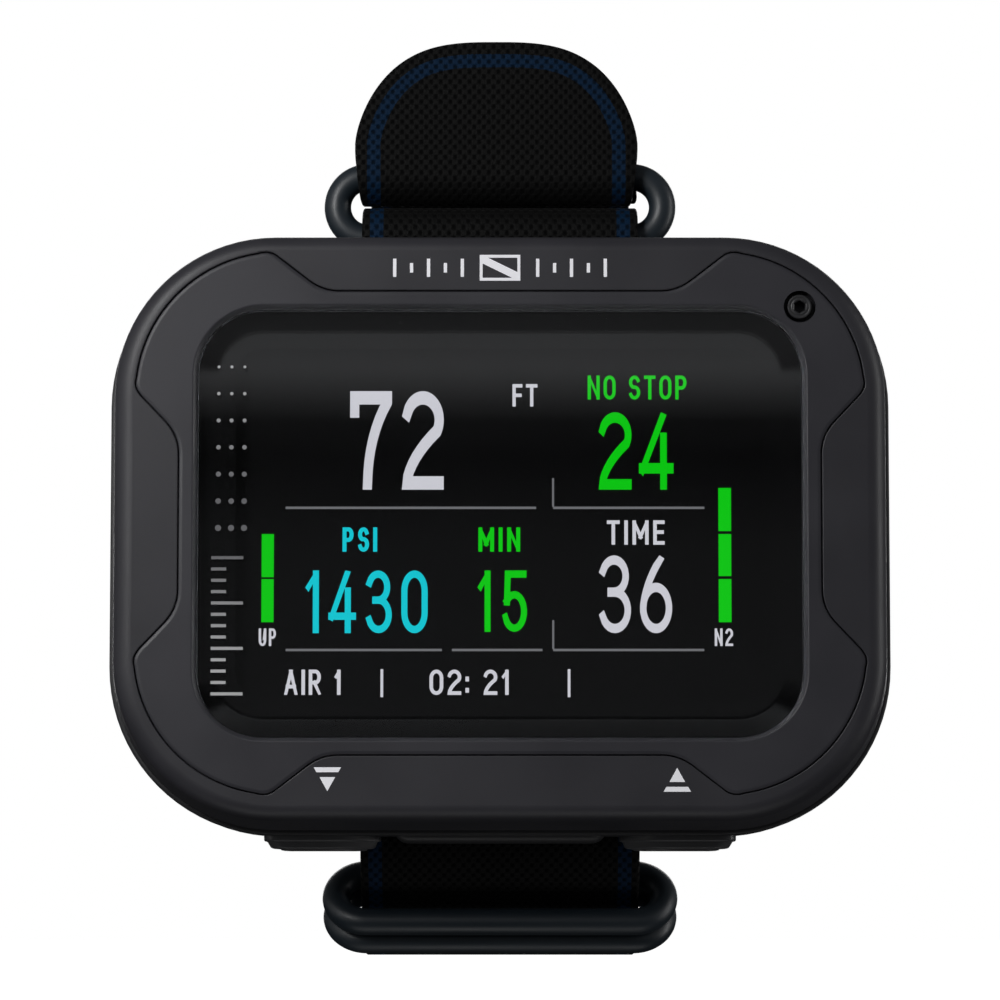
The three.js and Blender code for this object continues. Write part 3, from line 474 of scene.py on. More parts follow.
def smooth(piece, angle=35):
    """Rounds the shading up to an angle, and keeps large flat faces flat."""
    piece.data.shade_smooth()
    piece.data.set_sharp_from_angle(angle=math.radians(angle))
    modifier = piece.modifiers.new("flatten", "WEIGHTED_NORMAL")
    modifier.keep_sharp = True
    apply_modifiers(piece)


def skin(name, loops, material, closed=False, smooth_angle=35):
    """A solid through loops of (x, depth, z) points with equal counts: ends capped, or the last joined on."""
    count = len(loops[0])
    vertices = [point for loop in loops for point in loop]
    faces = []
    for i in range(len(loops) if closed else len(loops) - 1):
        here = i * count
        there = ((i + 1) % len(loops)) * count
        for j in range(count):
            k = (j + 1) % count
            faces.append((here + j, here + k, there + k, there + j))
    if not closed:
        faces.append(tuple(range(count)))
        faces.append(tuple(range((len(loops) - 1) * count, len(loops) * count)))
    return new_object(name, vertices, faces, material, smooth_angle)


def apply_modifiers(piece):
    bpy.context.view_layer.update()
    evaluated = piece.evaluated_get(bpy.context.evaluated_depsgraph_get())
    mesh = bpy.data.meshes.new_from_object(evaluated)
    piece.modifiers.clear()
    piece.data = mesh


def carve(piece, tools, operation="DIFFERENCE"):
    """Cuts the tools out of a piece, or joins them to it, and removes them."""
    for tool in tools:
        modifier = piece.modifiers.new("carve", "BOOLEAN")
        modifier.operation = operation
        modifier.solver = "EXACT"
        modifier.object = tool
    apply_modifiers(piece)
    for tool in tools:
        bpy.data.objects.remove(tool)


def soften(piece, width):
    """Rounds the sharp edges."""
    modifier = piece.modifiers.new("soften", "BEVEL")
    modifier.width = width * MM
    modifier.segments = 2
    modifier.limit_method = "ANGLE"
    modifier.angle_limit = math.radians(40)
    apply_modifiers(piece)
    smooth(piece)


# ---------- outlines: lists of (x, z), anticlockwise ----------
def rounded_outline(hx, hz, r, cx=0.0, cz=0.0, steps=20):
    points = []
    for quarter, (sx, sz) in enumerate(((1, 1), (-1, 1), (-1, -1), (1, -1))):
        for i in range(steps + 1):
            angle = (quarter + i / steps) * math.pi / 2
            x = cx + sx * (hx - r) + r * math.cos(angle)
            z = cz + sz * (hz - r) + r * math.sin(angle)
            points.append((x, z))
    return points


def inset_outline(size, dx, dz, cz=0.0):
    hx, hz, r = size
    return rounded_outline(hx - dx, hz - dz, r - min(dx, dz), 0, cz)


def round_outline(r, cx, cz, steps=40, turn=0.0):
    angles = [turn + 2 * math.pi * i / steps for i in range(steps)]
    return [(cx + r * math.cos(a), cz + r * math.sin(a)) for a in angles]


def curve(start, control, end, steps=8):
    """A quadratic curve without its first point."""
    points = []
    for i in range(1, steps + 1):
        t = i / steps
        points.append(tuple((1 - t) ** 2 * a + 2 * t * (1 - t) * b + t * t * c
                            for a, b, c in zip(start, control, end)))
    return points


def arc(cx, cz, rx, rz, start, end, steps=18):
    angles = [math.radians(start + (end - start) * i / steps) for i in range(steps + 1)]
    return [(cx + rx * math.cos(a), cz + rz * math.sin(a)) for a in angles]


def plate_outline():
    """The bezel plate: straight top, bottom and sides, and a round lobe in each corner of the case."""
    lobe_x, lobe_z, lobe_r = 22.9, 13.3, 14.75
    shoulder_x, tuck_angle = 25.1, 0.11
    shoulder_angle = math.acos((shoulder_x - lobe_x) / lobe_r)
    lobe = arc(lobe_x, lobe_z, lobe_r, lobe_r, math.degrees(shoulder_angle), math.degrees(tuck_angle), 30)
    quarter = [(0, 24), (8, 24), (16.6, 24)]
    quarter += curve((16.6, 24), (18.4, 24), (19.9, 25.2))
    quarter += [(23, 27.6)]
    quarter += curve((23, 27.6), (23.9, 28.3), lobe[0])
    quarter += lobe[1:]
    quarter += curve(lobe[-1], (37.9, 14), (37, 13))
    quarter += [(34.6, 10.5)]
    quarter += curve((34.6, 10.5), (33.15, 9), (33.15, 7))
    quarter += [(33.15, 0)]
    right = quarter + [(x, -z) for x, z in quarter[-2::-1]]
    left = [(-x, z) for x, z in right[-2:0:-1]]
    return [(x, z + FACE_Z) for x, z in reversed(right + left)]


def grown(outline, distance):
    """The outline moved outwards."""
    points = []
    count = len(outline)
    for i, (x, z) in enumerate(outline):
        (x0, z0), (x1, z1) = outline[i - 1], outline[(i + 1) % count]
        length = math.hypot(x1 - x0, z1 - z0)
        points.append((x + distance * (z1 - z0) / length, z - distance * (x1 - x0) / length))
    return points


def directions(*outlines):
    """The angles, seen from the middle of the case, of all the outlines' points."""
    angles = sorted(math.atan2(z, x) for outline in outlines for x, z in outline)
    kept = [angles[0]]
    for angle in angles[1:]:
        if angle - kept[-1] > 1e-3:
            kept.append(angle)
    return kept


def along(outline, angles):
    """The outline's points in those directions, so that unlike outlines can be joined."""
    known = sorted((math.atan2(z, x), x, z) for x, z in outline)
    starts = [k[0] for k in known]
    points = []
    for angle in angles:
        i = bisect.bisect_right(starts, angle)
        _, x0, z0 = known[i - 1]
        _, x1, z1 = known[i % len(known)]
        c, s = math.cos(angle), math.sin(angle)
        across = (z1 - z0) * c - (x1 - x0) * s
        t = (x0 * s - z0 * c) / across if abs(across) > 1e-9 else 0
        points.append((x0 + t * (x1 - x0), z0 + t * (z1 - z0)))
    return points


def at_depth(outline, depth):
    return [(x, depth, z) for x, z in outline]


def prism(name, outline, front, back, material):
    return skin(name, [at_depth(outline, front), at_depth(outline, back)], material)


def upright(name, plan, low, high, material):
    """A prism along z, from a plan of (x, depth)."""
    return skin(name, [[(x, depth, z) for x, depth in plan] for z in (low, high)], material)


def turned(name, profile, x, z, material, steps=48):
    """A turned piece along the depth. The profile is (radius, depth), both ends on the axis."""
    loops = [at_depth(round_outline(max(r, 0.001), x, z, steps), depth) for r, depth in profile]
    return skin(name, loops, material)


# ---------- shells and window ----------
def quarter_turns(steps):
    return [i / steps * math.pi / 2 for i in range(steps + 1)]


def front_shell(look):
    """From the seam, over the rounded front edge, across the face, down the pocket of the bezel plate and
    the window's step, and back through the inside to the seam."""
    case = (CASE_HX, CASE_HZ, CASE_R)
    window = (LENS_HX + LENS_ROOM, LENS_HZ + LENS_ROOM, WINDOW_R)
    plate = plate_outline()
    opening = rounded_outline(29.4, 20.3, 5, 0, FACE_Z)
    angles = directions(plate, opening, inset_outline(case, 0, 0), inset_outline(window, 0, 0, FACE_Z))
    lip, groove, fillet = 0.22, 0.06, 0.1
    levels = [(inset_outline(case, lip, lip), SEAM), (inset_outline(case, 0.03, 0.03), SEAM - lip)]
    levels.append((inset_outline(case, DRAFT_INSET[0] * 0.5, DRAFT_INSET[1] * 0.5), 7))
    for angle in reversed(quarter_turns(12)):
        rest = 1 - math.sin(angle)
        dx, dz = (near + (far - near) * rest for near, far in zip(DRAFT_INSET, FACE_INSET))
        levels.append((inset_outline(case, dx, dz), EDGE_DEPTH * (1 - math.cos(angle))))
    hold = 0.01  # a narrow strip of the flat face beside each rounding, so that the face is shaded flat
    levels.append((inset_outline(case, FACE_INSET[0] + hold, FACE_INSET[1] + hold), 0))
    levels.append((grown(plate, groove + fillet + hold), 0))
    for angle in quarter_turns(3):
        reach = groove + fillet * (1 - math.sin(angle))
        levels.append((grown(plate, reach), fillet * (1 - math.cos(angle))))
    levels.append((grown(plate, groove), PLATE_POCKET))
    levels.append((inset_outline(window, 0, 0, FACE_Z), PLATE_POCKET))
    ledge, ceiling = 3.3, 4.6  # the ledge that carries the glass, and the front of the inside
    inside = rounded_outline(38.6, 28.8, 15.1)
    levels.append((inset_outline(window, 0, 0, FACE_Z), ledge))
    levels.append((opening, ledge))
    levels.append((opening, ceiling))
    levels.append((rounded_outline(38.0, 28.2, 14.5), ceiling))
    levels.append((inside, 9))
    levels.append((inside, SEAM))
    loops = [at_depth(along(outline, angles), depth) for outline, depth in levels]
    shell = skin("front_shell", loops, look["shell"], closed=True)
    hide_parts("front_housing")
    return shell


def bezel(look):
    window = (LENS_HX, LENS_HZ, WINDOW_R)
    plate = plate_outline()
    angles = directions(plate, inset_outline(window, 0, 0, FACE_Z))
    groove = 0.06
    levels = [(grown(plate, -groove), PLATE_THICK)]
    for reach, depth in ((0, 0.16), (0.03, 0.1), (0.1, 0.06), (0.34, 0.0), (0.39, 0.0)):
        levels.append((grown(plate, -groove - reach), depth))
    rim = ((0.57, 0.0), (0.52, 0.0), (0.44, 0.02), (0.38, 0.07), (0.16, 0.42), (0.1, 0.52), (0.08, 0.7),
           (0.08, PLATE_THICK))
    for grow, depth in rim:
        levels.append((inset_outline(window, -grow, -grow, FACE_Z), depth))
    loops = [at_depth(along(outline, angles), depth) for outline, depth in levels]
    piece = skin("bezel", loops, look["bezel"], closed=True)
    hole = [(1.66, -1), (1.66, PLATE_THICK + 1)]
    carve(piece, [turned("plug_hole", hole, PLUG_X, PLUG_Z, look["bezel"])])
    smooth(piece)
    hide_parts("bezel_plate")
    return piece


def window(look):
    """The glass, with a wide shallow facet round its front and a black border printed on its back."""
    size = (LENS_HX, LENS_HZ, WINDOW_R - LENS_ROOM)
    rows = [(2.2, LENS_FRONT), (1.9, LENS_FRONT), (0.03, LENS_FRONT + 0.22), (0, LENS_FRONT + 0.26),
            (0, LENS_BACK - 0.1), (0.1, LENS_BACK)]
    loops = [at_depth(inset_outline(size, inset, inset, FACE_Z), depth) for inset, depth in rows]
    glass = skin("window_glass", loops, look["lens"], smooth_angle=25)
    glass.visible_shadow = False
    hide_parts("window_lens")
    outer, inner = 0.05, 3.9
    near, far = LENS_BACK + 0.02, LENS_BACK + 0.06
    border = ((outer, near), (outer, far), (inner, far), (inner, near))
    loops = [at_depth(inset_outline(size, inset, inset, FACE_Z), depth) for inset, depth in border]
    mask = skin("window_border_print", loops, look["display"], closed=True)
    return [glass, mask]


def button_guard(look):
    """The lip between the buttons, rounded at its lower front edge and ends."""
    half, front, back, low, high = 10.7, 12.9, 18.3, -32.25, -29.9
    corner = 1.2
    rows = [(0.75 * (1 - math.sin(a)), front + (1 - math.cos(a))) for a in quarter_turns(6)]
    rows.append((0, back))
    outlines = []
    for rise, depth in rows:
        side, foot = half - rise * 0.3, low + rise
        start = (side - corner, foot)
        right = curve(start, (side, foot), (side + 0.4, foot + 0.9), 6)
        left = [(-x, z) for x, z in reversed(right)]
        top = [(half + 1, high), (-half - 1, high)]
        outlines.append(at_depth([start] + right + top + left + [(-start[0], foot)], depth))
    return skin("guard", outlines, look["rear"])


def rear_shell(look):
    rim = (REAR_HX, REAR_HZ, CASE_R + 0.4)
    rows = [(0.4, SEAM + 0.3), (0.12, SEAM + 0.42), (0, SEAM + 0.75)]
    for angle in quarter_turns(8):
        rows.append((BACK_ROUND * (1 - math.cos(angle)), BACK - BACK_ROUND * (1 - math.sin(angle))))
    loops = [at_depth(inset_outline(rim, inset, inset), depth) for inset, depth in rows]
    shell = skin("rear_shell", loops, look["rear"])
    spigot = prism("spigot", rounded_outline(38.3, 28.5, 14.8), SPIGOT_FRONT, SEAM + 1, look["rear"])
    carve(shell, [spigot, button_guard(look)], "UNION")
    cavity_floor, recess_floor, beyond = 16.8, 20.4, BACK + 1
    channel = [(-16, -40), (16, -40), (16, 40), (-16, 40)]
    tools = [
        prism("cavity", rounded_outline(36.5, 26.7, 13), SPIGOT_FRONT - 1, cavity_floor, look["rear"]),
        prism("channel", channel, STRAP_DEPTH - 1.05, beyond, look["rear"]),
        prism("grille_recess", round_outline(4.8, SENSOR_X, SENSOR_Z), recess_floor, beyond, look["rear"]),
    ]
    for corner in CORNERS:
        circle = round_outline(2.2, *centre_of(f"case_screw_{corner}"))
        tools.append(prism("counterbore", circle, BACK - 1.5, beyond, look["rear"]))
    for i in (1, 2, 3):
        circle = round_outline(1.5, *centre_of(f"charge_contact_{i}"))
        tools.append(prism("contact_recess", circle, recess_floor, beyond, look["rear"]))
    for side in (-1, 1):
        plan = cap_outline(side, 0.3)
        tools.append(upright("button_pocket", plan, CAP_LOW - 1, CAP_HIGH + 1, look["rear"]))
    for way in ("down", "up"):
        xs, depths, (low, high) = extent(f"button_clip_{way}")
        circle = round_outline((xs[1] - xs[0]) / 2 + 0.3, middle(xs), middle(depths))
        tools.append(upright("clip_relief", circle, low - 0.3, high + 1.2, look["rear"]))
    carve(shell, tools)
    soften(shell, 0.15)
    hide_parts("rear_housing")
    return shell


# ---------- buttons ----------
def cap_outline(side, grow=0.0, trim_out=0.0, trim_in=0.0):
    """Plan of a button: round outer end, and an inner end that sweeps back to a narrow tip."""
    (near, far), _, _ = extent("button_cap_up")
    front, back = extent("button_cap_up")[1]
    far += grow - trim_out
    near -= grow - trim_in
    front -= grow
    back += grow
    sweep = 3.4
    corners = [(far, front, 1.6), (far, back, 1.2), (near, back, 0.4), (near, back - 1.1, 0.4),
               (near + sweep, front, 2.4)]
    points = []
    for i, (x, depth, trim) in enumerate(corners):
        here = Vector((x, depth))
        before = Vector(corners[i - 1][:2])
        after = Vector(corners[(i + 1) % len(corners)][:2])
        start = here + (before - here).normalized() * trim
        end = here + (after - here).normalized() * trim
        points += [tuple(start)] + curve(tuple(start), (x, depth), tuple(end), 6)
    return [(side * x, depth) for x, depth in points]


def buttons(look):
    """Each cap is stepped: two ledges run along its lower edge, and each step is shorter at both ends."""
    rows = [(-1.3, 0.0, 1.6, 1.2), (-0.75, 0.03, 1.4, 1.0), (-0.62, 0.1, 1.2, 0.9), (-0.6, 0.2, 1.1, 0.8),
            (-0.42, 0.24, 0.7, 0.5), (-0.34, 0.3, 0.5, 0.4), (-0.3, 0.4, 0.4, 0.3), (-0.24, 0.98, 0.1, 0.1),
            (-0.08, 1.04, 0.0, 0.0), (-0.02, 1.12, 0.0, 0.0), (0.0, 1.25, 0.0, 0.0), (0.0, 3.2, 0.0, 0.0)]
    for side, way in ((-1, "down"), (1, "up")):
        loops = [[(x, depth, CAP_LOW + rise) for x, depth in cap_outline(side, grow, trim_out, trim_in)]
                 for grow, rise, trim_out, trim_in in rows]
        cap = skin(f"button_{way}", loops, look["button"])
        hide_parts(f"button_cap_{way}")
        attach(cap, f"button_{way}")


def springs(look):
    """The coil round each button's shaft, built at rest length on the case; the real coil shortens as the
    button goes in.
    """
    wire, turns, around, count = 0.22, 3.5, 8, 90
    for way in ("down", "up"):
        xs, depths, (low, high) = extent(f"button_spring_{way}")
        cx, cd = middle(xs), middle(depths)
        radius = (depths[1] - depths[0]) / 2 - wire
        loops = []
        for i in range(count + 1):
            angle = 2 * math.pi * turns * i / count
            z = low + wire + (high - low - 2 * wire) * i / count
            loop = []
            for k in range(around):
                a = 2 * math.pi * k / around
                out = radius + wire * math.cos(a)
                loop.append((cx + out * math.cos(angle), cd + out * math.sin(angle), z + wire * math.sin(a)))
            loops.append(loop)
        coil = skin(f"return_spring_{way}", loops, look["steel"])
        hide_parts(f"button_spring_{way}")
        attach(coil, "case")
        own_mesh(coil)


# ---------- rings ----------
def ring(name, node, centre_depth, centre_z, tilt, body, look):
    outline = rounded_outline(RING_HALF, RING_BAR, RING_BAR - 0.001, steps=24)
    around = 28
    lean = math.radians(tilt)
    loops = []
    count = len(outline)
    for i, (x, z) in enumerate(outline):
        (x0, z0), (x1, z1) = outline[i - 1], outline[(i + 1) % count]
        length = math.hypot(x1 - x0, z1 - z0)
        nx, nz = (z1 - z0) / length, -(x1 - x0) / length
        loop = []
        for k in range(around):
            angle = 2 * math.pi * k / around
            out = RING_TUBE * math.cos(angle)
            px, pd, pz = x + nx * out, RING_TUBE * math.sin(angle), z + nz * out
            loop.append((px, centre_depth + pd * math.cos(lean) + pz * math.sin(lean),
                         centre_z - pd * math.sin(lean) + pz * math.cos(lean)))
        loops.append(loop)
    piece = skin(name, loops, look["ring"], closed=True)
    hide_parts(node)
    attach(piece, body)


def rings(look):
    ring("closure_loop", "closure_ring", RING_DEPTH, RING_Z, 0, "case", look)
    for place_name in ("front", "rear"):
        _, depths, heights = extent(f"keeper_ring_{place_name}")
        ring(f"keeper_loop_{place_name}", f"keeper_ring_{place_name}", middle(depths), middle(heights),
             KEEPER_TILT, f"keeper_{place_name}", look)


# ---------- strap ----------
class StrapPath:
    """The middle line of the strap, seen along the forearm. The slope is the angle of travel below straight
    back, in degrees."""

    def __init__(self, depth, z, slope):
        self.points = [(depth, z, slope)]

    def line(self, length, step=1.5):
        depth, z, slope = self.points[-1]
        angle = math.radians(slope)
        count = max(1, math.ceil(length / step))
        for i in range(1, count + 1):
            far = length * i / count
            self.points.append((depth + far * math.cos(angle), z - far * math.sin(angle), slope))
        return self

    def bend(self, radius, slope, step=1.0):
        depth, z, first = self.points[-1]
        turn = math.copysign(radius, first - slope)
        a0 = math.radians(first)
        count = max(4, math.ceil(radius * abs(math.radians(slope - first)) / step))
        for i in range(1, count + 1):
            here = first + (slope - first) * i / count
            a = math.radians(here)
            self.points.append((depth + turn * (math.sin(a0) - math.sin(a)),
                                z + turn * (math.cos(a0) - math.cos(a)), here))
        return self


FOLD_SLOPE = -215
FOLD_TURN = math.radians(FOLD_SLOPE)
FOLD_START = (RING_DEPTH + FOLD_R * math.sin(FOLD_TURN), UPPER_BAR_Z + FOLD_R * math.cos(FOLD_TURN))


def strap_route():
    """From the sewn end, round the closure ring's lower bar, down behind the case, round the forearm and
    up to the fold under the ring's upper bar."""
    swing = 40
    sewn_end, channel_end = 21.6, -30.61
    route = StrapPath(STRAP_DEPTH + STRAP_THICK + 0.1, sewn_end, -90)
    sway = (RING_DEPTH + FOLD_R - route.points[0][0]) / 2
    radius = sway / (1 - math.cos(math.radians(swing)))
    rise = LOWER_BAR_Z - 2 * radius * math.sin(math.radians(swing)) - sewn_end
    route.line(rise).bend(radius, -90 + swing).bend(radius, -90).bend(FOLD_R, -270, 0.5)
    depth, z, _ = route.points[-1]
    route.points[-1] = (depth, z, 90)
    route.line(z - channel_end).bend(8, 45).bend(24, -8)
    return route


def close_strap(route):
    """Round the forearm, with the rise and the last run that bring the strap to its fold."""
    fold_depth, fold_z = FOLD_START

    def round_forearm(start, rise, run):
        path = StrapPath(*start)
        path.bend(70, -25).bend(33, -90)
        if rise:
            path.line(rise)
        path.bend(33, -155).bend(70, -172).bend(20, FOLD_SLOPE)
        if run:
            path.line(run)
        return path

    start = route.points[-1]
    depth, z, _ = round_forearm(start, 0, 0).points[-1]
    run = (fold_depth - depth) / math.cos(FOLD_TURN)
    rise = fold_z - (z - run * math.sin(FOLD_TURN))
    route.points += round_forearm(start, rise, run).points[1:]


def strap_mesh(name, points, centre_x, half_width, edge_distance, look):
    """Webbing along a route, with rounded edges. half_width and edge_distance take the place along it."""
    columns = 30
    rim = 6
    thick = WEBBING_THICK / 2
    vertices, weave, edges = [], [], []
    run = 0.0
    for i, (depth, z, slope) in enumerate(points):
        if i:
            run += math.hypot(depth - points[i - 1][0], z - points[i - 1][1])
        half = max(half_width(run), 0.05)
        soft = min(0.3, half)
        section = [(-half + soft + 2 * (half - soft) * k / columns, -1) for k in range(columns + 1)]
        section += [(half - soft + soft * math.sin(a), -math.cos(a))
                    for a in (math.pi * k / rim for k in range(1, rim))]
        section += [(-x, 1) for x, _ in section[:columns + 1]]
        section += [(-x, -side) for x, side in section[columns + 1:columns + rim]]
        angle = math.radians(slope)
        for x, side in section:
            out = side * thick
            vertices.append((centre_x + x, depth + out * math.sin(angle), z + out * math.cos(angle)))
            weave.append((x * MM, run * MM))
            edges.append(edge_distance(x, run) * MM)
    ring_size = len(section)
    faces = []
    for i in range(len(points) - 1):
        for j in range(ring_size):
            a, b = i * ring_size + j, i * ring_size + (j + 1) % ring_size
            faces.append((a, b, b + ring_size, a + ring_size))
    faces.append(tuple(range(ring_size)))
    faces.append(tuple(range(len(vertices) - ring_size, len(vertices))))
    mesh = bpy.data.meshes.new(name)
    mesh.from_pydata([place(*v) for v in vertices], [], faces)
    weave_layer = mesh.uv_layers.new(name="weave")
    edge_layer = mesh.uv_layers.new(name="edge")
    for loop in mesh.loops:
        weave_layer.data[loop.index].uv = weave[loop.vertex_index]
        edge_layer.data[loop.index].uv = (edges[loop.vertex_index], 0)
    tidy = bmesh.new()
    tidy.from_mesh(mesh)
    bmesh.ops.recalc_face_normals(tidy, faces=tidy.faces)
    tidy.to_mesh(mesh)
    tidy.free()
    mesh.materials.append(look["webbing"])
    piece = bpy.data.objects.new(name, mesh)
    link(piece)
    smooth(piece, 60)
    return piece


def main_strap(look):
    route = strap_route()
    close_strap(route)
    tuck = 0.45  # the blue lines lie nearer the edges than on the free end
    strap = strap_mesh("strap", route.points, 0, lambda run: STRAP_HALF,
                       lambda x, run: STRAP_HALF + tuck - abs(x), look)
    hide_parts("strap_sewn_eye", "strap_back_run", "strap_keeper_run", "strap_forearm_band")
    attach(strap, "case")


def strap_end(look):
    """The free end: out of the fold, up in front of the closure ring to a rounded tip."""
    path = StrapPath(*FOLD_START, FOLD_SLOPE).bend(FOLD_R, -90, 0.4)
    fold_length = FOLD_R * math.radians(-90 - FOLD_SLOPE)
    tip_start = TAIL_TOP - TIP_LENGTH
    path.line(tip_start - path.points[-1][1], 1.0)
    straight = fold_length + tip_start - UPPER_BAR_Z
    tip_steps = 48
    for i in range(1, tip_steps + 1):
        share = 1 - (1 - i / tip_steps) ** 3
        path.points.append((path.points[-1][0], tip_start + TIP_LENGTH * share, -90))
    fold_half = STRAP_HALF + TAIL_X
    widen = 2.0

    def half_width(run):
        share = min(1.0, max(0.0, (run - straight) / TIP_LENGTH))
        full = fold_half + (TAIL_HALF - fold_half) * min(1.0, run / (fold_length + widen))
        return full * (1 - share ** TIP_ALONG) ** (1 / TIP_ACROSS)

    reaches = [straight + TIP_LENGTH * (1 - (1 - k / 60) ** 3) for k in range(61)]
    rim = [(half_width(reach), reach) for reach in reaches]

    def edge_distance(x, run):
        return min([TAIL_HALF - abs(x)] + [math.hypot(abs(x) - rx, run - rz) for rx, rz in rim])

    tail = strap_mesh("strap_end", path.points, TAIL_X, half_width, edge_distance, look)
    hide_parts("strap_tail")
    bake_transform(tail)


def stitches(look):
    """Two rows of stitches through the sewn end."""
    length, pitch, radius = 1.7, 2.3, 0.17
    depth = STRAP_DEPTH + STRAP_THICK * 1.5 + 0.1
    count = 12
    loops_around = 8
    for row, z in enumerate((22.35, 23.95)):
        vertices, faces = [], []
        for i in range(count):
            x = (i - (count - 1) / 2) * pitch
            base = len(vertices)
            spans = 6
            for s in range(spans + 1):
                share = s / spans
                bow = 0.13 * math.sin(math.pi * share)
                for k in range(loops_around):
                    a = 2 * math.pi * k / loops_around
                    vertices.append((x + length * (share - 0.5), depth + bow + radius * math.cos(a) * 0.8,
                                     z + radius * math.sin(a)))
            for s in range(spans):
                for k in range(loops_around):
                    a = base + s * loops_around + k
                    b = base + s * loops_around + (k + 1) % loops_around
                    faces.append((a, b, b + loops_around, a + loops_around))
            faces.append(tuple(base + k for k in range(loops_around)))
            faces.append(tuple(base + spans * loops_around + k for k in range(loops_around)))
        piece = new_object(f"stitch_row_{row + 1}", vertices, faces, look["thread"])
        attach(piece, "case")


# ---------- the display ----------
def oval(cx, cz, rx, rz):
    return arc(cx, cz, rx, rz, 0, 360, 40)


# Each sign is its width and its strokes, in a square of side 1 from its lower left corner.
BOWL_O = arc(0.5, 0.7, 0.5, 0.3, 0, 180) + arc(0.5, 0.3, 0.5, 0.3, 180, 360) + [(1, 0.7)]
HEAD_P = [(0, 0), (0, 1), (0.5, 1)] + arc(0.55, 0.74, 0.42, 0.26, 90, -90) + [(0, 0.48)]
SIGNS = {
    "0": (1, [BOWL_O]),
    "1": (0.52, [[(0, 0.78), (1, 1)], [(1, 1), (1, 0)]]),
    "2": (1, [arc(0.5, 0.74, 0.5, 0.26, 160, -30) + curve((0.93, 0.61), (0.12, 0.3), (0, 0)) + [(1, 0)]]),
    "3": (1, [arc(0.47, 0.765, 0.45, 0.235, 158, -90) + [(0.36, 0.53)],
              [(0.36, 0.53)] + arc(0.5, 0.265, 0.5, 0.265, 90, -158)]),
    "4": (1.05, [[(0.7, 1), (0, 0.24)], [(0, 0.24), (1, 0.24)], [(0.76, 0.68), (0.76, 0)]]),
    "5": (1, [[(0.92, 1), (0.14, 1), (0.1, 0.5)], arc(0.48, 0.31, 0.5, 0.31, 138, -158)]),
    "6": (1, [[(0.64, 1)] + curve((0.64, 1), (0.05, 0.62), (0, 0.3)), oval(0.5, 0.3, 0.5, 0.3)]),
    "7": (1, [[(0, 0.86), (0, 1), (1, 1), (1, 0.95)] + curve((1, 0.95), (0.42, 0.55), (0.4, 0))]),
    "A": (1.1, [[(0, 0), (0.5, 1)], [(0.5, 1), (1, 0)], [(0.2, 0.3), (0.8, 0.3)]]),
    "E": (0.85, [[(1, 1), (0, 1), (0, 0), (1, 0)], [(0, 0.52), (0.85, 0.52)]]),
    "F": (0.82, [[(1, 1), (0, 1), (0, 0)], [(0, 0.5), (0.85, 0.5)]]),
    "I": (0, [[(0.5, 0), (0.5, 1)]]),
    "M": (1.2, [[(0, 0), (0, 1)], [(0, 1), (0.5, 0.3)], [(0.5, 0.3), (1, 1)], [(1, 1), (1, 0)]]),
    "N": (1, [[(0, 0), (0, 1)], [(0, 1), (1, 0)], [(1, 0), (1, 1)]]),
    "O": (1, [BOWL_O]),
    "P": (0.95, [HEAD_P]),
    "R": (1, [HEAD_P, [(0.45, 0.48), (1, 0)]]),
    "S": (0.95, [arc(0.5, 0.75, 0.47, 0.25, 25, 250) + arc(0.5, 0.26, 0.5, 0.26, 80, -155)]),
    "T": (0.95, [[(0, 1), (1, 1)], [(0.5, 1), (0.5, 0)]]),
    "U": (1, [[(0, 1), (0, 0.3)] + arc(0.5, 0.3, 0.5, 0.3, 180, 360) + [(1, 0.3), (1, 1)]]),
    ":": (0, [[(0.5, 0.12), (0.5, 0.14)], [(0.5, 0.64), (0.5, 0.66)]]),
    " ": (0.45, []),
}


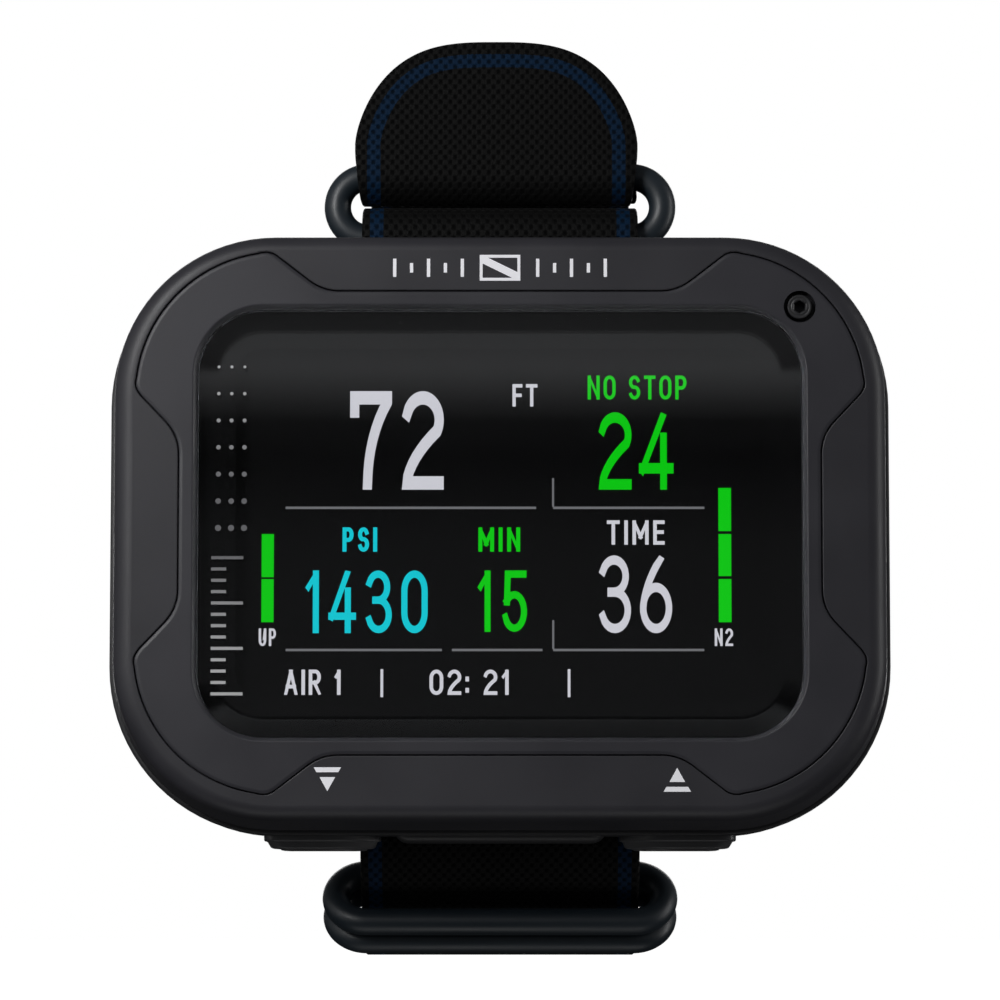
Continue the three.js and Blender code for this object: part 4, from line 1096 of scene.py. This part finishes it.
class Print:
    """Flat marks gathered into one thin mesh, which stands a little in front of a given depth."""

    def __init__(self, depth, thick):
        self.depth = depth
        self.thick = thick
        self.vertices = []
        self.faces = []

    def patch(self, outline):
        """A flat mark with a convex outline."""
        base = len(self.vertices)
        count = len(outline)
        self.vertices += [(x, self.depth - self.thick, z) for x, z in outline]
        self.vertices += [(x, self.depth, z) for x, z in outline]
        self.faces.append(tuple(range(base, base + count)))
        self.faces.append(tuple(range(base + count, base + 2 * count)))
        for i in range(count):
            j = (i + 1) % count
            self.faces.append((base + i, base + j, base + count + j, base + count + i))

    def bar(self, x0, x1, z0, z1):
        self.patch([(x0, z0), (x1, z0), (x1, z1), (x0, z1)])

    def stroke(self, points, width, height, room):
        """A pen stroke; the pen is width across and height up, so that tall figures have heavier bars.
        The room is (left, right, low, high): slanting ends are cut level with it."""
        left, right, low, high = room
        closed = math.dist(points[0], points[-1]) < 1e-6
        line = [Vector((x / width, z / height)) for x, z in points]
        if closed:
            line.pop()
        else:
            line[0] += (line[0] - line[1]).normalized() * 0.6
            line[-1] += (line[-1] - line[-2]).normalized() * 0.6
        count = len(line)
        base = len(self.vertices)
        for i, here in enumerate(line):
            before = here - line[i - 1] if closed or i else line[1] - here
            after = line[(i + 1) % count] - here if closed or i < count - 1 else before
            first = Vector((-before.y, before.x)).normalized()
            second = Vector((-after.y, after.x)).normalized()
            mean = (first + second).normalized()
            reach = 0.5 / max(mean.dot(first), 0.5)
            for side in (1, -1):
                edge = here + mean * reach * side
                x = min(max(edge.x * width, left), right)
                z = min(max(edge.y * height, low), high)
                self.vertices.append((x, self.depth - self.thick, z))
                self.vertices.append((x, self.depth, z))
        for i in range(count if closed else count - 1):
            a = base + 4 * i
            b = base + 4 * ((i + 1) % count)
            self.faces += [(a, b, b + 2, a + 2), (a + 1, a + 3, b + 3, b + 1),
                           (a, a + 1, b + 1, b), (a + 2, b + 2, b + 3, a + 3)]
        if not closed:
            end = base + 4 * (count - 1)
            self.faces += [(base, base + 2, base + 3, base + 1), (end, end + 1, end + 3, end + 2)]

    def text(self, words, left, right, low, high, pen_width, pen_height, gap=0.3):
        """Words that fill the room from left to right, with gaps as a share of a full letter."""
        narrow = [c for c in words if SIGNS[c][0] == 0]
        shares = sum(SIGNS[c][0] for c in words) + gap * (len(words) - 1)
        letter = (right - left - len(narrow) * pen_width) / shares
        x = left
        for c in words:
            share, strokes = SIGNS[c]
            wide = share * letter if share else pen_width
            for stroke in strokes:
                points = [(x + pen_width / 2 + px * (wide - pen_width),
                           low + pen_height / 2 + pz * (high - low - pen_height)) for px, pz in stroke]
                self.stroke(points, pen_width, pen_height, (x, x + wide, low, high))
            x += wide + gap * letter

    def build(self, name, material):
        piece = new_object(name, self.vertices, self.faces, material)
        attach(piece, "case")
        return piece


def display(look):
    """What the display shows: depth, time left without stops, gas pressure, dive time and two bar graphs."""
    depth, thick = PANEL_FRONT - 0.02, 0.03
    white, green, cyan, grey = (Print(depth, thick) for _ in range(4))

    white.text("72", -15.6, -5.85, 4.17, 14.48, 0.95, 1.4, 0.24)
    white.text("FT", 1.3, 3.9, 12.87, 15.22, 0.34, 0.36)
    green.text("NO STOP", 9.13, 19.45, 13.6, 16.12, 0.34, 0.36, 0.32)
    green.text("24", 10.25, 18.05, 4.17, 12.27, 0.7, 1.1, 0.22)
    cyan.text("PSI", -16.35, -12.75, -2.3, 0.24, 0.42, 0.42, 0.34)
    cyan.text("1430", -20.2, -7.5, -10.77, -4.25, 0.63, 0.76, 0.36)
    green.text("MIN", -2.25, 2.1, -2.3, 0.24, 0.42, 0.42, 0.34)
    green.text("15", -2.35, 2.85, -10.64, -4.25, 0.63, 0.76, 0.45)
    white.text("TIME", 11.1, 17.1, -1.57, 0.97, 0.37, 0.38, 0.34)
    white.text("36", 10.25, 17.85, -10.77, -2.68, 0.66, 0.96, 0.28)
    white.text("AIR 1", -22.35, -16.5, -17.17, -14.55, 0.37, 0.38, 0.3)
    white.text("O2: 21", -7.3, 0.9, -17.17, -14.55, 0.37, 0.38, 0.3)
    white.text("UP", -25.0, -23.2, -12.1, -10.28, 0.25, 0.25, 0.34)
    white.text("N2", 22.25, 24.15, -12.1, -10.28, 0.25, 0.25, 0.34)
    for x in (-12.23, 7.15):
        white.bar(x - 0.14, x + 0.14, -17.4, -14.5)

    for low, high in ((-9.63, -5.15), (-4.95, -0.46)):
        green.bar(-24.74, -23.47, low, high)
    for low, high in ((-9.63, -5.15), (-4.84, -0.46), (-0.15, 4.35)):
        green.bar(22.68, 24.0, low, high)

    for left, right, z in ((-22.27, 3.75, 2.15), (5.52, 21.23, 2.15), (-22.2, -6.02, -12.64),
                           (-4.98, 4.4, -12.64), (5.5, 21.16, -12.64)):
        grey.bar(left, right, z, z + 0.25)
    for z in (2.37, -12.42):
        grey.bar(5.41, 5.62, z, z + 3.0)

    for marks, name in ((white, "white"), (green, "green"), (cyan, "cyan"), (grey, "grey")):
        marks.build(f"display_{name}", look[f"lit_{name}"])


# ---------- printed marks ----------
def printed_marks(look):
    glass = Print(LENS_FRONT, 0.012)
    rows = 7
    for row in range(rows):
        share = row / (rows - 1)
        for column in range(3):
            radius = 0.15 + 0.17 * share
            centre = (-29.07 + 1.34 * column, 16.6 - 16.73 * share)
            glass.patch(round_outline(radius, *centre, 16))
    glass.build("glass_dots", look["glass_ink"])

    scale = Print(LENS_FRONT, 0.012)
    ticks = 13
    for i in range(ticks):
        z = -3.2 - i * 1.17
        long_tick = i % 4 == 0
        scale.bar(-29.75, -26.45 if long_tick else -28.2, z - 0.16, z + 0.16)
    scale.build("glass_scale", look["glass_ink"])

    face = Print(0, 0.012)
    down, up = -17.68, 18.15
    face.patch([(down - 1.12, -25.3), (down + 1.12, -25.3), (down + 1.4, -24.8), (down - 1.4, -24.8)])
    face.patch([(down, -27.25), (down + 0.8, -25.8), (down - 0.8, -25.8)])
    face.patch([(up - 0.8, -26.3), (up + 0.8, -26.3), (up, -24.85)])
    face.patch([(up - 1.4, -27.3), (up + 1.4, -27.3), (up + 1.12, -26.8), (up - 1.12, -26.8)])
    flag_x, flag_z, middle_z = 2.1, 1.35, 26.85
    for z in (middle_z - flag_z, middle_z + flag_z - 0.3):
        face.bar(-flag_x, flag_x, z, z + 0.3)
    for x in (-flag_x, flag_x - 0.3):
        face.bar(x, x + 0.3, middle_z - flag_z + 0.3, middle_z + flag_z - 0.3)
    face.patch([(-1.8, 27.9), (-1.8, 27.3), (1.25, 25.8), (1.8, 25.8), (1.8, 26.4), (-1.25, 27.9)])
    for side in (-1, 1):
        for i in range(5):
            x = side * (3.9 + 1.75 * i)
            tall = 0.95 if i % 2 == 0 else 0.5
            face.bar(x - 0.17, x + 0.17, middle_z - tall, middle_z + tall)
    # the face marks are drawn in the white ink, with its painted glow
    face.build("face_marks", look["ink"])


# ---------- fasteners and back details ----------
def socket_screw(name, node, head_r, socket_r, material):
    """A screw that faces back, with a hexagonal socket in its head."""
    cx, cz = centre_of(node)
    top = extent(node)[1][1]
    head = 1.25
    profile = [(0, top - head - 2), (0.8, top - head - 2), (0.8, top - head), (head_r, top - head),
               (head_r, top - 0.18), (head_r - 0.06, top - 0.06), (head_r - 0.2, top), (0, top)]
    screw = turned(name, profile, cx, cz, material)
    carve(screw, [prism("socket", round_outline(socket_r, cx, cz, 6), top - 0.7, top + 1, material)])
    soften(screw, 0.05)
    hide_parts(node)
    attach(screw, "case")


def fasteners(look):
    for corner in CORNERS:
        socket_screw(f"shell_screw_{corner}", f"case_screw_{corner}", 2.0, 0.9, look["steel"])
        socket_screw(f"strap_screw_{corner}", f"bridge_screw_{corner}", 1.6, 0.7, look["steel"])
    profile = [(0, 3.4), (0.9, 3.4), (0.9, 1.3), (1.27, 1.3), (1.27, 0.2), (1.2, 0.08), (1.05, 0.03),
               (0.98, 0.09), (0.9, 0.09), (0.82, 0.03), (0, 0.03)]
    plug = turned("port_plug", profile, PLUG_X, PLUG_Z, look["plug"])
    carve(plug, [prism("socket", round_outline(0.66, PLUG_X, PLUG_Z, 6, math.pi / 6), -1, 1.8, look["plug"])])
    smooth(plug)
    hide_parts("port_plug_screw")
    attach(plug, "case")


def bridges(look):
    """The two bars over the strap, each with its edges rounded and two screws."""
    half_long, half_wide, r = 21.8, 3.5, 2.6
    screw_seat = 22.05
    rows = [(0.25, BRIDGE_FRONT), (0, BRIDGE_FRONT + 0.25), (0, BRIDGE_BACK - 0.5),
            (0.15, BRIDGE_BACK - 0.15), (0.5, BRIDGE_BACK)]
    for side, where in ((1, "top"), (-1, "bottom")):
        loops = []
        for inset, depth in rows:
            size = (half_long - inset, half_wide - inset, r - inset * 0.8)
            loops.append(at_depth(rounded_outline(*size, 0, side * BRIDGE_Z), depth))
        bar = skin(f"strap_bar_{where}", loops, look["shell"])
        tools = []
        for hand in ("left", "right"):
            circle = round_outline(1.75, *centre_of(f"bridge_screw_{where}_{hand}"))
            tools.append(prism("sink", circle, screw_seat, BRIDGE_BACK + 1, look["shell"]))
        carve(bar, tools)
        soften(bar, 0.08)
        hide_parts(f"strap_bridge_{where}")
        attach(bar, "case")


def back_details(look):
    """The grille over the pressure sensor, with rings of vents, and the three charging contacts."""
    profile = [(0, 20.6), (4.5, 20.6), (4.5, 21.15), (4.42, 21.32), (4.2, 21.42), (3.5, 21.42), (3.42, 21.3),
               (3.3, 21.3), (3.22, 21.42), (0, 21.42)]
    grille = turned("pressure_grille", profile, SENSOR_X, SENSOR_Z, look["steel"])
    tools = []
    for count, reach in ((1, 0), (6, 1.15), (12, 2.3)):
        for i in range(count):
            angle = 2 * math.pi * i / count
            x, z = SENSOR_X + reach * math.cos(angle), SENSOR_Z + reach * math.sin(angle)
            tools.append(prism("vent", round_outline(0.32, x, z, 16), 20, 22, look["steel"]))
    carve(grille, tools)
    smooth(grille)
    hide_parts("pressure_port_grille")
    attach(grille, "case")
    pin = [(0, 19), (0.7, 19), (0.7, 20.7), (1.2, 20.7), (1.2, 21.1), (1.12, 21.3), (0.9, 21.4), (0, 21.4)]
    for i in (1, 2, 3):
        contact = turned(f"contact_{i}", pin, *centre_of(f"charge_contact_{i}"), look["gold"])
        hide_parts(f"charge_contact_{i}")
        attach(contact, "case")


# ---------- inner parts kept from the CAD model ----------
def dress_cad_nodes(look):
    """Gives every CAD node the finish of its material slot."""
    slots = {part["node"]: part["material_slot"] for part in frame["record"]["subparts"]}
    for name, node in frame["nodes"].items():
        node.data.materials.clear()
        node.data.materials.append(look[slots[name]])


add_camera()
add_studio()
look = make_materials()
dress_cad_nodes(look)
for piece, slot_name in (
    (front_shell(look), "shell"), (bezel(look), "bezel"), (rear_shell(look), "shell"),
    *((pane, "lens") for pane in window(look)),
):
    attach(piece, "case")
buttons(look)
springs(look)
rings(look)
main_strap(look)
strap_end(look)
stitches(look)
display(look)
printed_marks(look)
fasteners(look)
bridges(look)
back_details(look)
add_floor()
